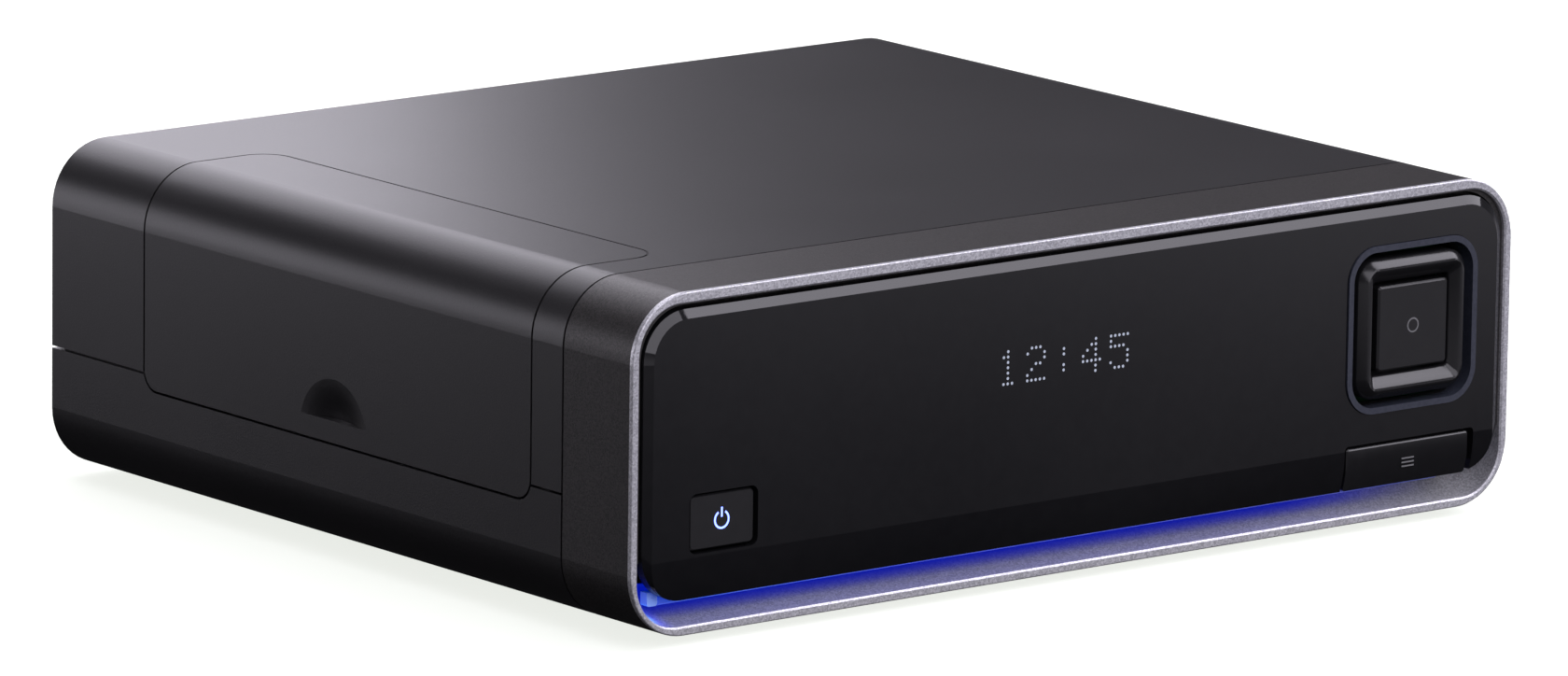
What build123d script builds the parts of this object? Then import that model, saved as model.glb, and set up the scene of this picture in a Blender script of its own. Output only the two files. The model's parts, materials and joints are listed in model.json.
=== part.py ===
from build123d import *
import os
from math import atan2, cos, hypot, radians, sin, sqrt

# Media player with a hard drive tray behind a flip-up side door.
# Millimetres. X to the right, Y to the back, Z up; the front panel faces -Y.
# The origin is the middle of the bounding box, on the surface that the feet stand on.

# ---------------------------------------------------------------- case
CASE_WIDTH = 220.0
CASE_DEPTH = 188.0           # bezel's outer edge to the back edge of the cover
CASE_HEIGHT = 66.0           # without the feet
CASE_CORNER = 12.7           # round of the four long edges
WALL = 2.5
SEAM_GAP = 0.5               # between neighbouring shells
FIT_GAP = 0.1                # between a lip and the wall that it slides in
FOOT_HEIGHT = 2.0            # shows below the case
FOOT_RADIUS = 7.0
FOOT_SEAT = 0.5              # depth of the recess that holds a foot
FOOT_INSET = 24.0            # foot centre from the sides
FOOT_INSET_DEPTH = 30.0      # foot centre from the front and the back
COLLAR_DEPTH = 21.4          # bezel's outer edge to the collar's back seam
COLLAR_TONGUE = 4.0
TONGUE_THICKNESS = 1.5
PART_LINE = 25.0             # seam of tub and cover above the case bottom
PART_LIP = 2.5               # height of the tub's lip inside the cover
VENT_ROWS = 8                # air slots in the tub's floor, in two columns
VENT_PITCH = 8.0
VENT_LENGTH = 36.0
VENT_WIDTH = 2.4
VENT_COLUMN = 30.0           # middle of each column from the middle of the case
OVERRUN = 20.0               # how far a cutting shape runs past what it cuts

# ---------------------------------------------------------------- bezel with coved sill
BEZEL_DEPTH = 1.0
BEZEL_SIDE = 1.7             # width of its face at the sides
BEZEL_TOP = 2.2
BEZEL_ROUND = 0.3            # outer front edge
BEZEL_INNER_CHAMFER = 0.35   # inner front edge, which catches the light along the sill
SILL_LIP = 1.8               # height of the lip below the cove
COVE_DEPTH = 9.0
COVE_RISE = 6.8
COVE_NARROWING = 1.0         # how far each side draws in at the back of the cove
COVE_STEPS = 6
COVE_CORNER = 9.5            # corner round at the front, bottom
COVE_CORNER_LOSS = 1.5
COVE_SKIN = 1.0              # what is left of the collar outside the cove
WING_HEIGHT = 15.0           # how far the cove's wings reach up the sides
COVE_BACK_WALL = 1.0

# ---------------------------------------------------------------- front panel
PANEL_PROUD = 0.75           # in front of the bezel's outer edge
PANEL_THICKNESS = 3.0
PANEL_GAP = 1.0              # to the bezel's inner edge
PANEL_CHAMFER = 1.7
PANEL_CHAMFER_DEPTH = 1.0
PANEL_CORNER = 9.7
PANEL_FOOT = 6.8             # panel's lower edge above the case bottom
PANEL_CURL = 1.3             # how far the lower edge curls back
PANEL_CURL_HEIGHT = 8.2
CHASSIS_GAP = 0.15
CHASSIS_THICKNESS = 2.0
CHASSIS_FOOT = 1.9           # chassis plate starts this far above the panel's edge
CHASSIS_INSET = 0.5
CHASSIS_SHELF = 1.5
BOARD_SETBACK = 12.0         # front board behind the bezel's outer edge
BOARD_THICKNESS = 1.6
RIB_DEPTH = 2.0              # rib inside the collar that the chassis seats on
RIB_WIDTH = 3.0
FRONT_SCREW_REACH = 27.0     # screws beside the pad and the option button
FRONT_SCREW_DROP = 11.2      # upper row below the top of the case
FRONT_SCREW_RISE = 18.5      # lower row above the case bottom

# buttons
BUTTON_TRAVEL = 0.8
BUTTON_GAP = 0.5
POWER_INSET = 18.75          # middle of the power button from the panel's left edge
POWER_Z = 21.4               # above the case bottom, as the other heights here
POWER_WIDTH = 15.5
POWER_HEIGHT = 10.6
POWER_CORNER = 1.2
POWER_SINK = 0.6
PAD_INSET = 23.8             # middle of the pad from the panel's right edge
PAD_Z = 38.65
PAD_SIZE = 28.0
PAD_CORNER = 4.5
PAD_PROUD = 1.2
PAD_RIDGE = 24.0             # square across the top of the pad's ridge
PAD_DEPTH = 5.3
TRIM_OUTER = 33.6
TRIM_WIDTH = 1.25
TRIM_CORNER = 7.0
TRIM_DEPTH = 3.4
OK_WIDTH = 18.1
OK_HEIGHT = 17.0
OK_PROUD = 0.35
OK_GAP = 0.8
OK_CORNER = 0.8
OK_FLANGE_GAP = 1.0          # behind the pad, so that the pad can tilt
OK_SLOPE = 1.2               # width of the slope between the ridge and the button
OPTION_INSET = 24.0
OPTION_WIDTH = 31.8
OPTION_HEIGHT = 8.6
OPTION_GAP = 0.6
OPTION_RIGHT_GAP = 1.3       # the gap is wider at the right end
OPTION_EDGE = 0.35           # chamfer of its upper and right edges
OPTION_THICKNESS = 2.2
OPTION_STEM_WIDTH = 8.4
OPTION_STEM_HEIGHT = 3.4
PLUNGER_RADIUS = 2.2
SWITCH_SIZE = 6.0
SWITCH_HEIGHT = 1.5
TRUNNION_RADIUS = 0.9
BORE_GAP = 0.05              # round a pin that turns
PRESS_GAP = 0.02             # round a piece pressed into its hole
GIMBAL_DEPTH = 8.5           # pad's tilt axes behind the bezel's outer edge
GIMBAL_OUTER = 8.0
GIMBAL_INNER = 5.2
GIMBAL_THICKNESS = 2.4
LUG_WIDTH = 5.0
LUG_THICKNESS = 2.4
PAD_LUG_REACH = 12.4         # middle of the pad's lugs from the pad's centre
CHASSIS_LUG_REACH = 17.2

# light guide, display, receiver
GUIDE_LEFT_INSET = 3.3       # ends of the light guide from the panel's side edges
GUIDE_RIGHT_INSET = 13.3
GUIDE_SETBACK = 2.7
GUIDE_THICKNESS = 2.0
GUIDE_DROP = 0.9             # shows below the panel's edge
LED_LENGTH = 2.6
DISPLAY_X = -5.4
DISPLAY_DROP = 23.5          # middle of the display below the top of the case
DISPLAY_WIDTH = 70.0
DISPLAY_HEIGHT = 18.0
WINDOW_WIDTH = 62.0
WINDOW_HEIGHT = 13.0
RECEIVER_X = -52.0
RECEIVER_DROP = 23.5
RECEIVER_SIZE = 6.0

# ---------------------------------------------------------------- side door and its hinge
DOOR_SETBACK = 10.0          # collar seam to the door's front edge
DOOR_LENGTH = 125.0
DOOR_FOOT = 22.0             # door's lower edge above the case bottom
DOOR_TOP_WIDTH = 30.5        # side of the case to the door's inner edge on top
DOOR_LOW_CORNER = 4.0
DOOR_TOP_CORNER = 6.0
DOOR_GAP = 0.5
HINGE_INBOARD = 8.0          # pin from the cover's edge at the seam
HINGE_DEPTH = 6.0            # pin below the top of the case
HINGE_PIN_RADIUS = 1.5
HINGE_BOSS_RADIUS = 3.0
ARM_CLEARANCE = 0.8          # arm round the cover's edge
ARM_STRIP = 3.0
ARM_THICKNESS = 2.5
ARM_GAP = 1.2                # arm from the bay's wall
ARM_PAD_LENGTH = 10.0
NOTCH_Z = 4.3                # straight edge of the finger notch above the door's lower edge
NOTCH_RADIUS = 12.0          # where its soft rim ends
NOTCH_DROP = 2.6             # notch circle's centre below that straight edge
NOTCH_DEPTH = 2.2
NOTCH_FADE = 0.04            # the soft rim ends this far outside the door's face
NOTCH_BACKING = 1.5
CATCH_WIDTH = 6.0
CATCH_REACH = 3.0
CATCH_GAP = 0.15
CATCH_SPACING = 70.0

# ---------------------------------------------------------------- hard drive, tray, bay
DRIVE_LENGTH = 147.0
DRIVE_WIDTH = 101.6
DRIVE_HEIGHT = 26.1
DRIVE_CORNER = 3.0
LID_THICKNESS = 1.0
LID_EMBOSS = 0.3
DRIVE_CAVITY_DEPTH = 3.6
DRIVE_RAIL = 7.0             # cast rail each side of the drive's circuit board
DRIVE_HOLE_NEAR = 41.28      # bottom holes from the connector end
DRIVE_HOLE_STEP = 44.45
DRIVE_SIDE_HOLE = 28.5       # side holes from the connector end
DRIVE_SIDE_STEP = 101.6
DRIVE_SIDE_HOLE_Z = 6.35
DRIVE_HOLE_EDGE = 3.175      # bottom holes from the drive's long edges
PLUG_Y = -20.0               # from the drive's middle
PLUG_WIDTH = 40.0
PLUG_NOTCH_WIDTH = 44.0
PLUG_NOTCH_HEIGHT = 9.0
PLUG_NOTCH_DEPTH = 8.0
PLUG_TONGUE = 5.0
PLUG_TONGUE_THICKNESS = 1.2
TRAY_BOTTOM = 23.0           # above the case bottom
TRAY_FLOOR = 1.5
TRAY_WALL = 2.0
TRAY_FRONT = 2.0
TRAY_RAIL_HEIGHT = 12.0
TRAY_DRIVE_GAP = 0.4
TRAY_SKID = 0.9
TRAY_WINDOW = 24.0
TRAY_WINDOW_PITCH = 34.0
TRAY_WINDOW_EDGE = 20.2      # windows from the tray's long edges
TRAY_SETBACK = 21.0          # tray's front behind the door's inner face
FINGER_WIDTH = 40.0
FINGER_HEIGHT = 12.0
BAY_SHEET = 1.0
BAY_SIDE_GAP = 0.6
BAY_FLOOR_GAP = 0.1
BAY_FRONT_INSET = 7.0        # bay's mouth from the case side
BAY_WALL_HEIGHT = 34.0
BAY_TAIL = 5.0               # drive's end to the bay's back wall
BAY_TAB = 9.0
BAY_SLOTS = 5                # cooling slots in the bay's floor
BAY_SLOT_PITCH = 22.0
BAY_SLOT_LENGTH = 60.0
BAY_SLOT_WIDTH = 6.0
BAY_PILLAR_RADIUS = 3.5
BAY_PILLAR_LEFT = 35.0       # pillars from the case side
BAY_PILLAR_RIGHT = 165.0
SOCKET_HEIGHT = 6.5
SOCKET_SLOT = 1.8
BACKPLANE_WIDTH = 60.0
BACKPLANE_TOP = 46.0         # above the case bottom
BACKPLANE_X_GAP = 0.2
RISER_HEIGHT = 8.0
RISER_WIDTH = 64.0
RISER_THICKNESS = 6.0

# ---------------------------------------------------------------- main board
MAIN_INSET = 18.0            # board's side edges from the case sides
MAIN_FRONT = 34.0            # board's front edge behind the bezel's outer edge
STANDOFF_HEIGHT = 3.5
STANDOFF_RADIUS = 3.0
STANDOFF_INSET = 24.0
STANDOFF_FRONT = 42.0        # rows of standoffs behind the bezel's outer edge
STANDOFF_STEP = 60.0
PROCESSOR_X = 6.0
PROCESSOR_Y = 26.0           # from the bay's middle, to the back
PROCESSOR_SIZE = 27.0
PROCESSOR_HEIGHT = 2.5
SINK_SIZE = 40.0
SINK_HEIGHT = 9.0
SINK_BASE = 2.0
SINK_FINS = 9
SINK_FIN_THICKNESS = 1.2
MEMORY_WIDTH = 11.0
MEMORY_LENGTH = 14.0
MEMORY_HEIGHT = 1.2
MEMORY_REACH = 34.0          # nearer column's left edge from the processor's middle
MEMORY_PITCH = 16.0
MEMORY_ROW = 10.0            # half the distance of the rows
CAPACITOR_RADIUS = 3.5
CAPACITOR_HEIGHT = 10.0
CAPACITOR_REACH = 32.0       # first one from the processor's middle
CAPACITOR_PITCH = 11.0
CAPACITOR_ROW = 14.0

# ---------------------------------------------------------------- back
REAR_RECESS = 2.0
REAR_SHEET = 1.2
REAR_RIB = 1.5
REAR_RIB_HEIGHT = 4.0        # from the outside of the case to the rib's inner edge
REAR_SCREW_INSET = 14.0      # rear panel's screws from the case sides
REAR_SCREW_RISE = 10.5
REAR_LUG = 4.0               # half the width of the lugs that they bite in
REAR_LUG_DEPTH = 8.0
SOCKET_GAP = 0.2             # round each socket in the rear panel
SOCKET_PROUD = 0.3           # sockets out of the rear panel
SOCKET_BACK = 3.0            # solid back of a shelled socket
TONGUE_SINK = 0.8            # contact tongue behind the rear panel's face
ESATA_WIDTH = 17.0
ESATA_HEIGHT = 6.5
ESATA_DEPTH = 13.0
ESATA_SHELL = 1.0
ESATA_TONGUE = 1.2
ESATA_TONGUE_GAP = 1.5
USB_WIDTH = 14.5
USB_HEIGHT = 7.2
USB_DEPTH = 14.0
USB_SHELL = 0.9
USB_TONGUE = 1.8
USB_TONGUE_GAP = 0.6
HDMI_WIDTH = 15.0
HDMI_HEIGHT = 6.0
HDMI_DEPTH = 11.0
HDMI_SHELL = 0.7
HDMI_TONGUE = 1.0
HDMI_TONGUE_GAP = 0.8
DC_WIDTH = 9.0
DC_HEIGHT = 11.0
DC_DEPTH = 14.0
DC_BORE = 3.1
DC_BORE_DEPTH = 9.5
DC_PIN = 1.0
NETWORK_WIDTH = 16.0
NETWORK_HEIGHT = 13.5
NETWORK_DEPTH = 19.0
NETWORK_MOUTH = 11.8
NETWORK_MOUTH_DEPTH = 12.0
NETWORK_SILL = 3.4
NETWORK_WALL = 2.0
NETWORK_LATCH = 6.0
NETWORK_LATCH_DEPTH = 1.8
OPTICAL_WIDTH = 9.8
OPTICAL_HEIGHT = 10.0
OPTICAL_DEPTH = 12.0
OPTICAL_MOUTH = 6.2
OPTICAL_MOUTH_DEPTH = 7.0
JACK_REACH = 8.0             # jack sleeves out of the rear panel
JACK_RADIUS = 4.15
JACK_BORE = 3.5
JACK_PIN_HOLE = 1.65
JACK_PIN_DEPTH = 9.6
JACK_INSERT_SINK = 0.4       # insulator behind the sleeve's rim
JACK_PITCH = 14.0
JACK_COLUMNS = 3
JACK_ROWS = 2
JACK_X = -44.5               # middle of the column nearest the centre
JACK_HOUSING_DEPTH = 11.0
JACK_SLEEVE_DEPTH = 8.0      # sleeve into the housing
JACK_FLOOR = 6.0             # depth of the bore behind the rear panel
FAN_SIZE = 40.0
FAN_THICKNESS = 10.0
FAN_BORE = 19.0
FAN_HUB = 9.0
FAN_BLADES = 7
FAN_BLADE_GAP = 0.7
FAN_HOLE = 16.0
FAN_INSET = 40.0             # middle of the fan from the case side
FAN_RIB_GAP = 0.3            # fan below the rear rib
FAN_SHAFT = 1.0
GRILLE_HOLE = 1.6
GRILLE_PITCH = 4.2
GRILLE_RADIUS = 17.6

# ---------------------------------------------------------------- screws
M3_SHANK = 1.5
M3_HEAD = 2.8
M3_HEAD_HEIGHT = 1.9
SCREW_GAP = 0.1
BOSS_RADIUS = 3.6
CASE_SCREW_SIDE = 12.0       # from the case sides
CASE_SCREW_FRONT = 5.0       # behind the collar seam
CASE_SCREW_BACK = 13.0
CASE_SCREW_LENGTH = 30.0
CASE_SCREW_SINK = 6.0
CASE_SCREW_BITE = 12.0
FRONT_SCREW_LENGTH = 5.5
BAY_SCREW_LENGTH = 9.0
DRIVE_SCREW_LENGTH = 4.5
DRIVE_SCREW_HEAD = 0.85
DRIVE_SCREW_SINK = 0.9       # its head into the tray's floor
BOARD_SCREW_LENGTH = 5.0
REAR_SCREW_LENGTH = 6.0
FAN_SCREW_LENGTH = 9.0
FAN_SCREW_HEAD = 1.5
COLLAR_SCREW_LENGTH = 5.0
COLLAR_SCREW_HEAD = 1.2
COLLAR_SCREW_SINK = 1.3

# ---------------------------------------------------------------- worked out from the above
FRONT_REACH = PANEL_PROUD + PAD_PROUD
REAR_REACH = JACK_REACH - REAR_RECESS
FRONT = -(CASE_DEPTH + REAR_REACH + FRONT_REACH) / 2 + FRONT_REACH
BACK = FRONT + CASE_DEPTH
BOTTOM = FOOT_HEIGHT
TOP = BOTTOM + CASE_HEIGHT
SIDE = CASE_WIDTH / 2
SEAM = FRONT + COLLAR_DEPTH
PART_Z = BOTTOM + PART_LINE
FLOOR = BOTTOM + WALL
CEILING = TOP - WALL
INNER_SIDE = SIDE - WALL

PANEL_FACE = FRONT - PANEL_PROUD
PANEL_BACK = PANEL_FACE + PANEL_THICKNESS
PANEL_SIDE = SIDE - BEZEL_SIDE - PANEL_GAP
PANEL_BOTTOM = BOTTOM + PANEL_FOOT
PANEL_TOP = TOP - BEZEL_TOP - PANEL_GAP
CHASSIS_FACE = PANEL_BACK + CHASSIS_GAP
CHASSIS_BACK = CHASSIS_FACE + CHASSIS_THICKNESS
CHASSIS_BOTTOM = PANEL_BOTTOM + CHASSIS_FOOT
GUIDE_LEFT = PANEL_SIDE - GUIDE_LEFT_INSET
GUIDE_RIGHT = PANEL_SIDE - GUIDE_RIGHT_INSET
FRONT_BOARD_FACE = FRONT + BOARD_SETBACK
SWITCH_FACE = FRONT_BOARD_FACE - SWITCH_HEIGHT

POWER_X = -PANEL_SIDE + POWER_INSET
PAD_X = PANEL_SIDE - PAD_INSET
OPTION_X = PANEL_SIDE - OPTION_INSET
POWER_MIDDLE = BOTTOM + POWER_Z
PAD_MIDDLE = BOTTOM + PAD_Z
PAD_FACE = PANEL_FACE - PAD_PROUD
GIMBAL_Y = FRONT + GIMBAL_DEPTH
OK_FACE = PANEL_FACE - OK_PROUD
OPTION_TOP = PANEL_BOTTOM + OPTION_HEIGHT
OPTION_MIDDLE = PANEL_BOTTOM + OPTION_HEIGHT / 2
OPTION_STEM_Z = CHASSIS_BOTTOM + CHASSIS_SHELF + OPTION_STEM_HEIGHT / 2 + 0.6
DISPLAY_MIDDLE = TOP - DISPLAY_DROP
RECEIVER_MIDDLE = TOP - RECEIVER_DROP

DOOR_FRONT = SEAM + DOOR_SETBACK
DOOR_BACK = DOOR_FRONT + DOOR_LENGTH
DOOR_MIDDLE = (DOOR_FRONT + DOOR_BACK) / 2
DOOR_BOTTOM = BOTTOM + DOOR_FOOT
DOOR_INNER = -SIDE + DOOR_TOP_WIDTH
HINGE_X = DOOR_INNER + DOOR_GAP + HINGE_INBOARD
HINGE_Z = TOP - HINGE_DEPTH
EDGE_RADIUS = hypot(HINGE_INBOARD, HINGE_DEPTH)      # cover's edge round the pin
EDGE_LEAN = (sqrt(EDGE_RADIUS ** 2 - (HINGE_DEPTH - WALL) ** 2) - HINGE_INBOARD) / WALL
ARM_INNER = EDGE_RADIUS + ARM_CLEARANCE
ARM_OUTER = ARM_INNER + ARM_STRIP

DRIVE_BOTTOM = BOTTOM + TRAY_BOTTOM + TRAY_FLOOR
DRIVE_TOP = DRIVE_BOTTOM + DRIVE_HEIGHT
TRAY_Z = BOTTOM + TRAY_BOTTOM
TRAY_FACE = -INNER_SIDE + TRAY_SETBACK
DRIVE_LEFT = TRAY_FACE + TRAY_FRONT + TRAY_DRIVE_GAP
DRIVE_RIGHT = DRIVE_LEFT + DRIVE_LENGTH
TRAY_HALF = DRIVE_WIDTH / 2 + TRAY_DRIVE_GAP + TRAY_WALL
BAY_INNER_HALF = TRAY_HALF + BAY_SIDE_GAP
BAY_HALF = BAY_INNER_HALF + BAY_SHEET
BAY_FLOOR_TOP = TRAY_Z - TRAY_SKID - BAY_FLOOR_GAP
BAY_FLOOR_BOTTOM = BAY_FLOOR_TOP - BAY_SHEET
BAY_LEFT = -SIDE + BAY_FRONT_INSET
BAY_RIGHT = DRIVE_RIGHT + BAY_TAIL
ARM_MIDDLE = BAY_HALF + ARM_GAP + ARM_THICKNESS / 2
BACKPLANE_LEFT = BAY_RIGHT + BAY_SHEET + BACKPLANE_X_GAP
BACKPLANE_RIGHT = BACKPLANE_LEFT + BOARD_THICKNESS
PLUG_MIDDLE = DOOR_MIDDLE + PLUG_Y
PLUG_Z = DRIVE_BOTTOM + PLUG_NOTCH_HEIGHT / 2

MAIN_HALF_WIDTH = SIDE - MAIN_INSET
STANDOFF_X = SIDE - STANDOFF_INSET
MAIN_BOTTOM = FLOOR + STANDOFF_HEIGHT
MAIN_TOP = MAIN_BOTTOM + BOARD_THICKNESS
REAR_FACE = BACK - REAR_RECESS
REAR_INNER = REAR_FACE - REAR_SHEET
MAIN_FRONT_Y = FRONT + MAIN_FRONT
MAIN_BACK_Y = REAR_INNER - 1.3
FAN_X = SIDE - FAN_INSET
FAN_MIDDLE = TOP - REAR_RIB_HEIGHT - FAN_RIB_GAP - FAN_SIZE / 2
FAN_FRONT = REAR_INNER - FAN_THICKNESS


# ---------------------------------------------------------------- drawing helpers
def block(x0, x1, y0, y1, z0, z1):
    """A box between two opposite corners."""
    return Pos((x0 + x1) / 2, (y0 + y1) / 2, (z0 + z1) / 2) * Box(x1 - x0, y1 - y0, z1 - z0)


def rod_x(x0, x1, y, z, radius):
    """A round bar along X."""
    return Pos((x0 + x1) / 2, y, z) * Rot(0, 90, 0) * Cylinder(radius, x1 - x0)


def rod_y(x, y0, y1, z, radius):
    """A round bar along Y."""
    return Pos(x, (y0 + y1) / 2, z) * Rot(90, 0, 0) * Cylinder(radius, y1 - y0)


def rod_z(x, y, z0, z1, radius):
    """A round bar along Z."""
    return Pos(x, y, (z0 + z1) / 2) * Cylinder(radius, z1 - z0)


def upright(y, sketch):
    """Stand a sketch drawn in X and Z up at depth y."""
    return Plane((0, y, 0), x_dir=(1, 0, 0), z_dir=(0, -1, 0)) * sketch


def slab(sketch, y0, y1):
    """Extrude a sketch drawn in X and Z from depth y0 back to depth y1."""
    return extrude(upright(y1, sketch), amount=y1 - y0)


def side_slab(sketch, x0, x1):
    """Extrude a sketch drawn in Y and Z from x0 to x1."""
    return extrude(Plane((x0, 0, 0), x_dir=(0, 1, 0), z_dir=(1, 0, 0)) * sketch, amount=x1 - x0)


def round_box(x, z, width, height, corner):
    """A rounded rectangle in X and Z."""
    return Pos(x, z) * RectangleRounded(width, height, corner)


def case_outline(inset):
    """The case's cross-section, drawn in from its outside by inset."""
    corner = max(CASE_CORNER - inset, 0.5)
    return round_box(0, (BOTTOM + TOP) / 2, CASE_WIDTH - 2 * inset, CASE_HEIGHT - 2 * inset, corner)


def case_shell(y0, y1, outside=0.0, inside=WALL):
    """A tube of the case's cross-section between two depths."""
    return slab(case_outline(outside) - case_outline(inside), y0, y1)


def group(shapes):
    """Several separate solids as one shape."""
    solids = [solid for shape in shapes for solid in shape.solids()]
    return Compound(children=solids)


def screw(length, shank=M3_SHANK, head=M3_HEAD, head_height=M3_HEAD_HEIGHT):
    """A pan-head screw with a cross slot; its head starts at z = 0 and its shank hangs down."""
    body = rod_z(0, 0, 0, head_height, head) + rod_z(0, 0, -length, 0, shank)
    body = fillet(body.edges().group_by(Axis.Z)[-1], head_height * 0.35)
    slot_depth = head_height * 0.5
    for turn in (0, 90):
        slot = Pos(0, 0, head_height) * Rot(0, 0, turn) * Box(head * 1.1, 0.7, 2 * slot_depth)
        body -= slot
    return body


FACING_FRONT = Rot(90, 0, 0)         # a screw whose head faces -Y
FACING_BACK = Rot(-90, 0, 0)
FACING_DOWN = Rot(180, 0, 0)


# ---------------------------------------------------------------- places used by several pieces
def case_screw_spots():
    """Where the four long case screws stand."""
    x = SIDE - CASE_SCREW_SIDE
    rows = (SEAM + CASE_SCREW_FRONT, BACK - CASE_SCREW_BACK)
    return [(side * x, y) for side in (-1, 1) for y in rows]


def standoff_spots():
    """Where the main board is screwed down."""
    rows = [FRONT + STANDOFF_FRONT + row * STANDOFF_STEP for row in range(3)]
    return [(side * STANDOFF_X, y) for side in (-1, 1) for y in rows]


def bay_pillar_spots():
    """Where the drive bay stands on the tub's pillars."""
    reach = BAY_HALF + BAY_TAB / 2 + 0.5
    columns = (-SIDE + BAY_PILLAR_LEFT, -SIDE + BAY_PILLAR_RIGHT)
    return [(x, DOOR_MIDDLE + side * reach) for x in columns for side in (-1, 1)]


def foot_spots():
    """Where the rubber feet stand."""
    x = SIDE - FOOT_INSET
    rows = (FRONT + FOOT_INSET_DEPTH, BACK - FOOT_INSET_DEPTH)
    return [(side * x, y) for side in (-1, 1) for y in rows]


def collar_screw_spots():
    """Where two screws hold the collar from below."""
    return [(side * CASE_WIDTH * 0.27, SEAM + COLLAR_TONGUE / 2 + 2.5) for side in (-1, 1)]


def front_screw_spots():
    """Where the front board is screwed to the chassis, in X and Z."""
    high = TOP - FRONT_SCREW_DROP
    low = BOTTOM + FRONT_SCREW_RISE
    return [(-PANEL_SIDE * 0.9, high), (-PANEL_SIDE * 0.11, high),
            (PAD_X - FRONT_SCREW_REACH, high), (-PANEL_SIDE * 0.66, low), (0.0, low),
            (OPTION_X - FRONT_SCREW_REACH, low)]


def switch_spots():
    """Each tact switch under its plunger, in X and Z."""
    return {
        "power": (POWER_X, POWER_MIDDLE),
        "option": (OPTION_X, OPTION_STEM_Z),
        "ok": (PAD_X, PAD_MIDDLE),
        "up": (PAD_X, PAD_MIDDLE + PAD_LUG_REACH),
        "down": (PAD_X, PAD_MIDDLE - PAD_LUG_REACH),
        "left": (PAD_X - PAD_LUG_REACH, PAD_MIDDLE - 5.0),
        "right": (PAD_X + PAD_LUG_REACH, PAD_MIDDLE - 5.0),
    }


def rear_screw_spots():
    """Where the rear panel is screwed to tub and cover, in X and Z."""
    x = SIDE - REAR_SCREW_INSET
    low = BOTTOM + REAR_SCREW_RISE
    high = TOP - REAR_SCREW_RISE
    return [(-x, low), (x, low), (-x, high), (0.0, high)]


# ---------------------------------------------------------------- side door
def door_region(grow):
    """The space of the door within the case's section, grown all round by grow."""
    low = DOOR_LOW_CORNER + grow
    height = TOP + OVERRUN - (DOOR_BOTTOM - grow)
    outline = Pos(DOOR_MIDDLE, DOOR_BOTTOM - grow + height / 2) * Rectangle(
        DOOR_LENGTH + 2 * grow, height)
    outline = fillet(outline.vertices().group_by(Axis.Y)[0], low)
    side = side_slab(outline, -SIDE - 10, SIDE)

    # the inner edge leans outwards below the surface, so that the gap stays even as the door swings
    above = 3.0
    below = WALL + 1.0
    plan_width = DOOR_TOP_WIDTH + OVERRUN + grow
    plan = Pos(DOOR_INNER + grow - plan_width / 2 + EDGE_LEAN * above, DOOR_MIDDLE, TOP + above)
    plan *= Rectangle(plan_width, DOOR_LENGTH + 2 * grow)
    plan = fillet(plan.vertices().group_by(Axis.X)[-1], DOOR_TOP_CORNER + grow)
    lean = Vector(-EDGE_LEAN, 0, -1)
    top = extrude(plan, amount=(above + below) * lean.length, dir=lean.normalized())
    lower = block(-SIDE - 10, DOOR_INNER + grow - EDGE_LEAN * below, DOOR_FRONT - 10,
                  DOOR_BACK + 10, BOTTOM, TOP - below)
    return side & (top + lower)


def notch_cutter():
    """The finger notch: a scoop with a straight lower edge that fades out upwards."""
    half_depth = (NOTCH_DEPTH + NOTCH_FADE) / 2
    half_radius = NOTCH_RADIUS / 2
    lean = 2 * atan2(half_depth, half_radius)            # the steepest slope, half-way out
    bend = half_radius / sin(lean)                       # radius of the hollow and of its rim
    across = bend * sin(lean / 2)
    rise = bend * (1 - cos(lean / 2))
    deepest = 2 * half_depth
    hollow = ThreePointArc((0, deepest), (across, deepest - rise), (half_radius, half_depth))
    rim = ThreePointArc((half_radius, half_depth), (NOTCH_RADIUS - across, rise), (NOTCH_RADIUS, 0))
    outside = Polyline((NOTCH_RADIUS, 0), (NOTCH_RADIUS, -NOTCH_DEPTH), (0, -NOTCH_DEPTH),
                       (0, deepest))
    edge = DOOR_BOTTOM + NOTCH_Z
    middle = (-SIDE - NOTCH_FADE, DOOR_MIDDLE, edge - NOTCH_DROP)
    profile = Plane(middle, x_dir=(0, 1, 0), z_dir=(0, 0, -1)) * make_face(hollow + rim + outside)
    scoop = revolve(profile, Axis(middle, (1, 0, 0)), 360)
    reach = NOTCH_RADIUS + 1
    return scoop & block(-SIDE - reach, -SIDE + reach, DOOR_MIDDLE - reach, DOOR_MIDDLE + reach,
                         edge, edge + reach)


def hdd_door():
    """The flip-up side door: a shell that wraps over the case's upper left edge."""
    shell = case_shell(DOOR_FRONT - 5, DOOR_BACK + 5) & door_region(0)
    edge = DOOR_BOTTOM + NOTCH_Z
    backing = block(-INNER_SIDE - 0.5, -INNER_SIDE + NOTCH_BACKING, DOOR_MIDDLE - NOTCH_RADIUS,
                    DOOR_MIDDLE + NOTCH_RADIUS, edge - 2, edge + NOTCH_RADIUS - NOTCH_DROP)
    # two stiffening ribs inside, clear of the arms
    rib_z = TOP - CASE_CORNER - 2
    rib = block(-INNER_SIDE - 0.5, -INNER_SIDE + 1.2, DOOR_FRONT + 12, DOOR_BACK - 12,
                rib_z - 1.5, rib_z)
    return shell + backing + rib - notch_cutter()


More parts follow.
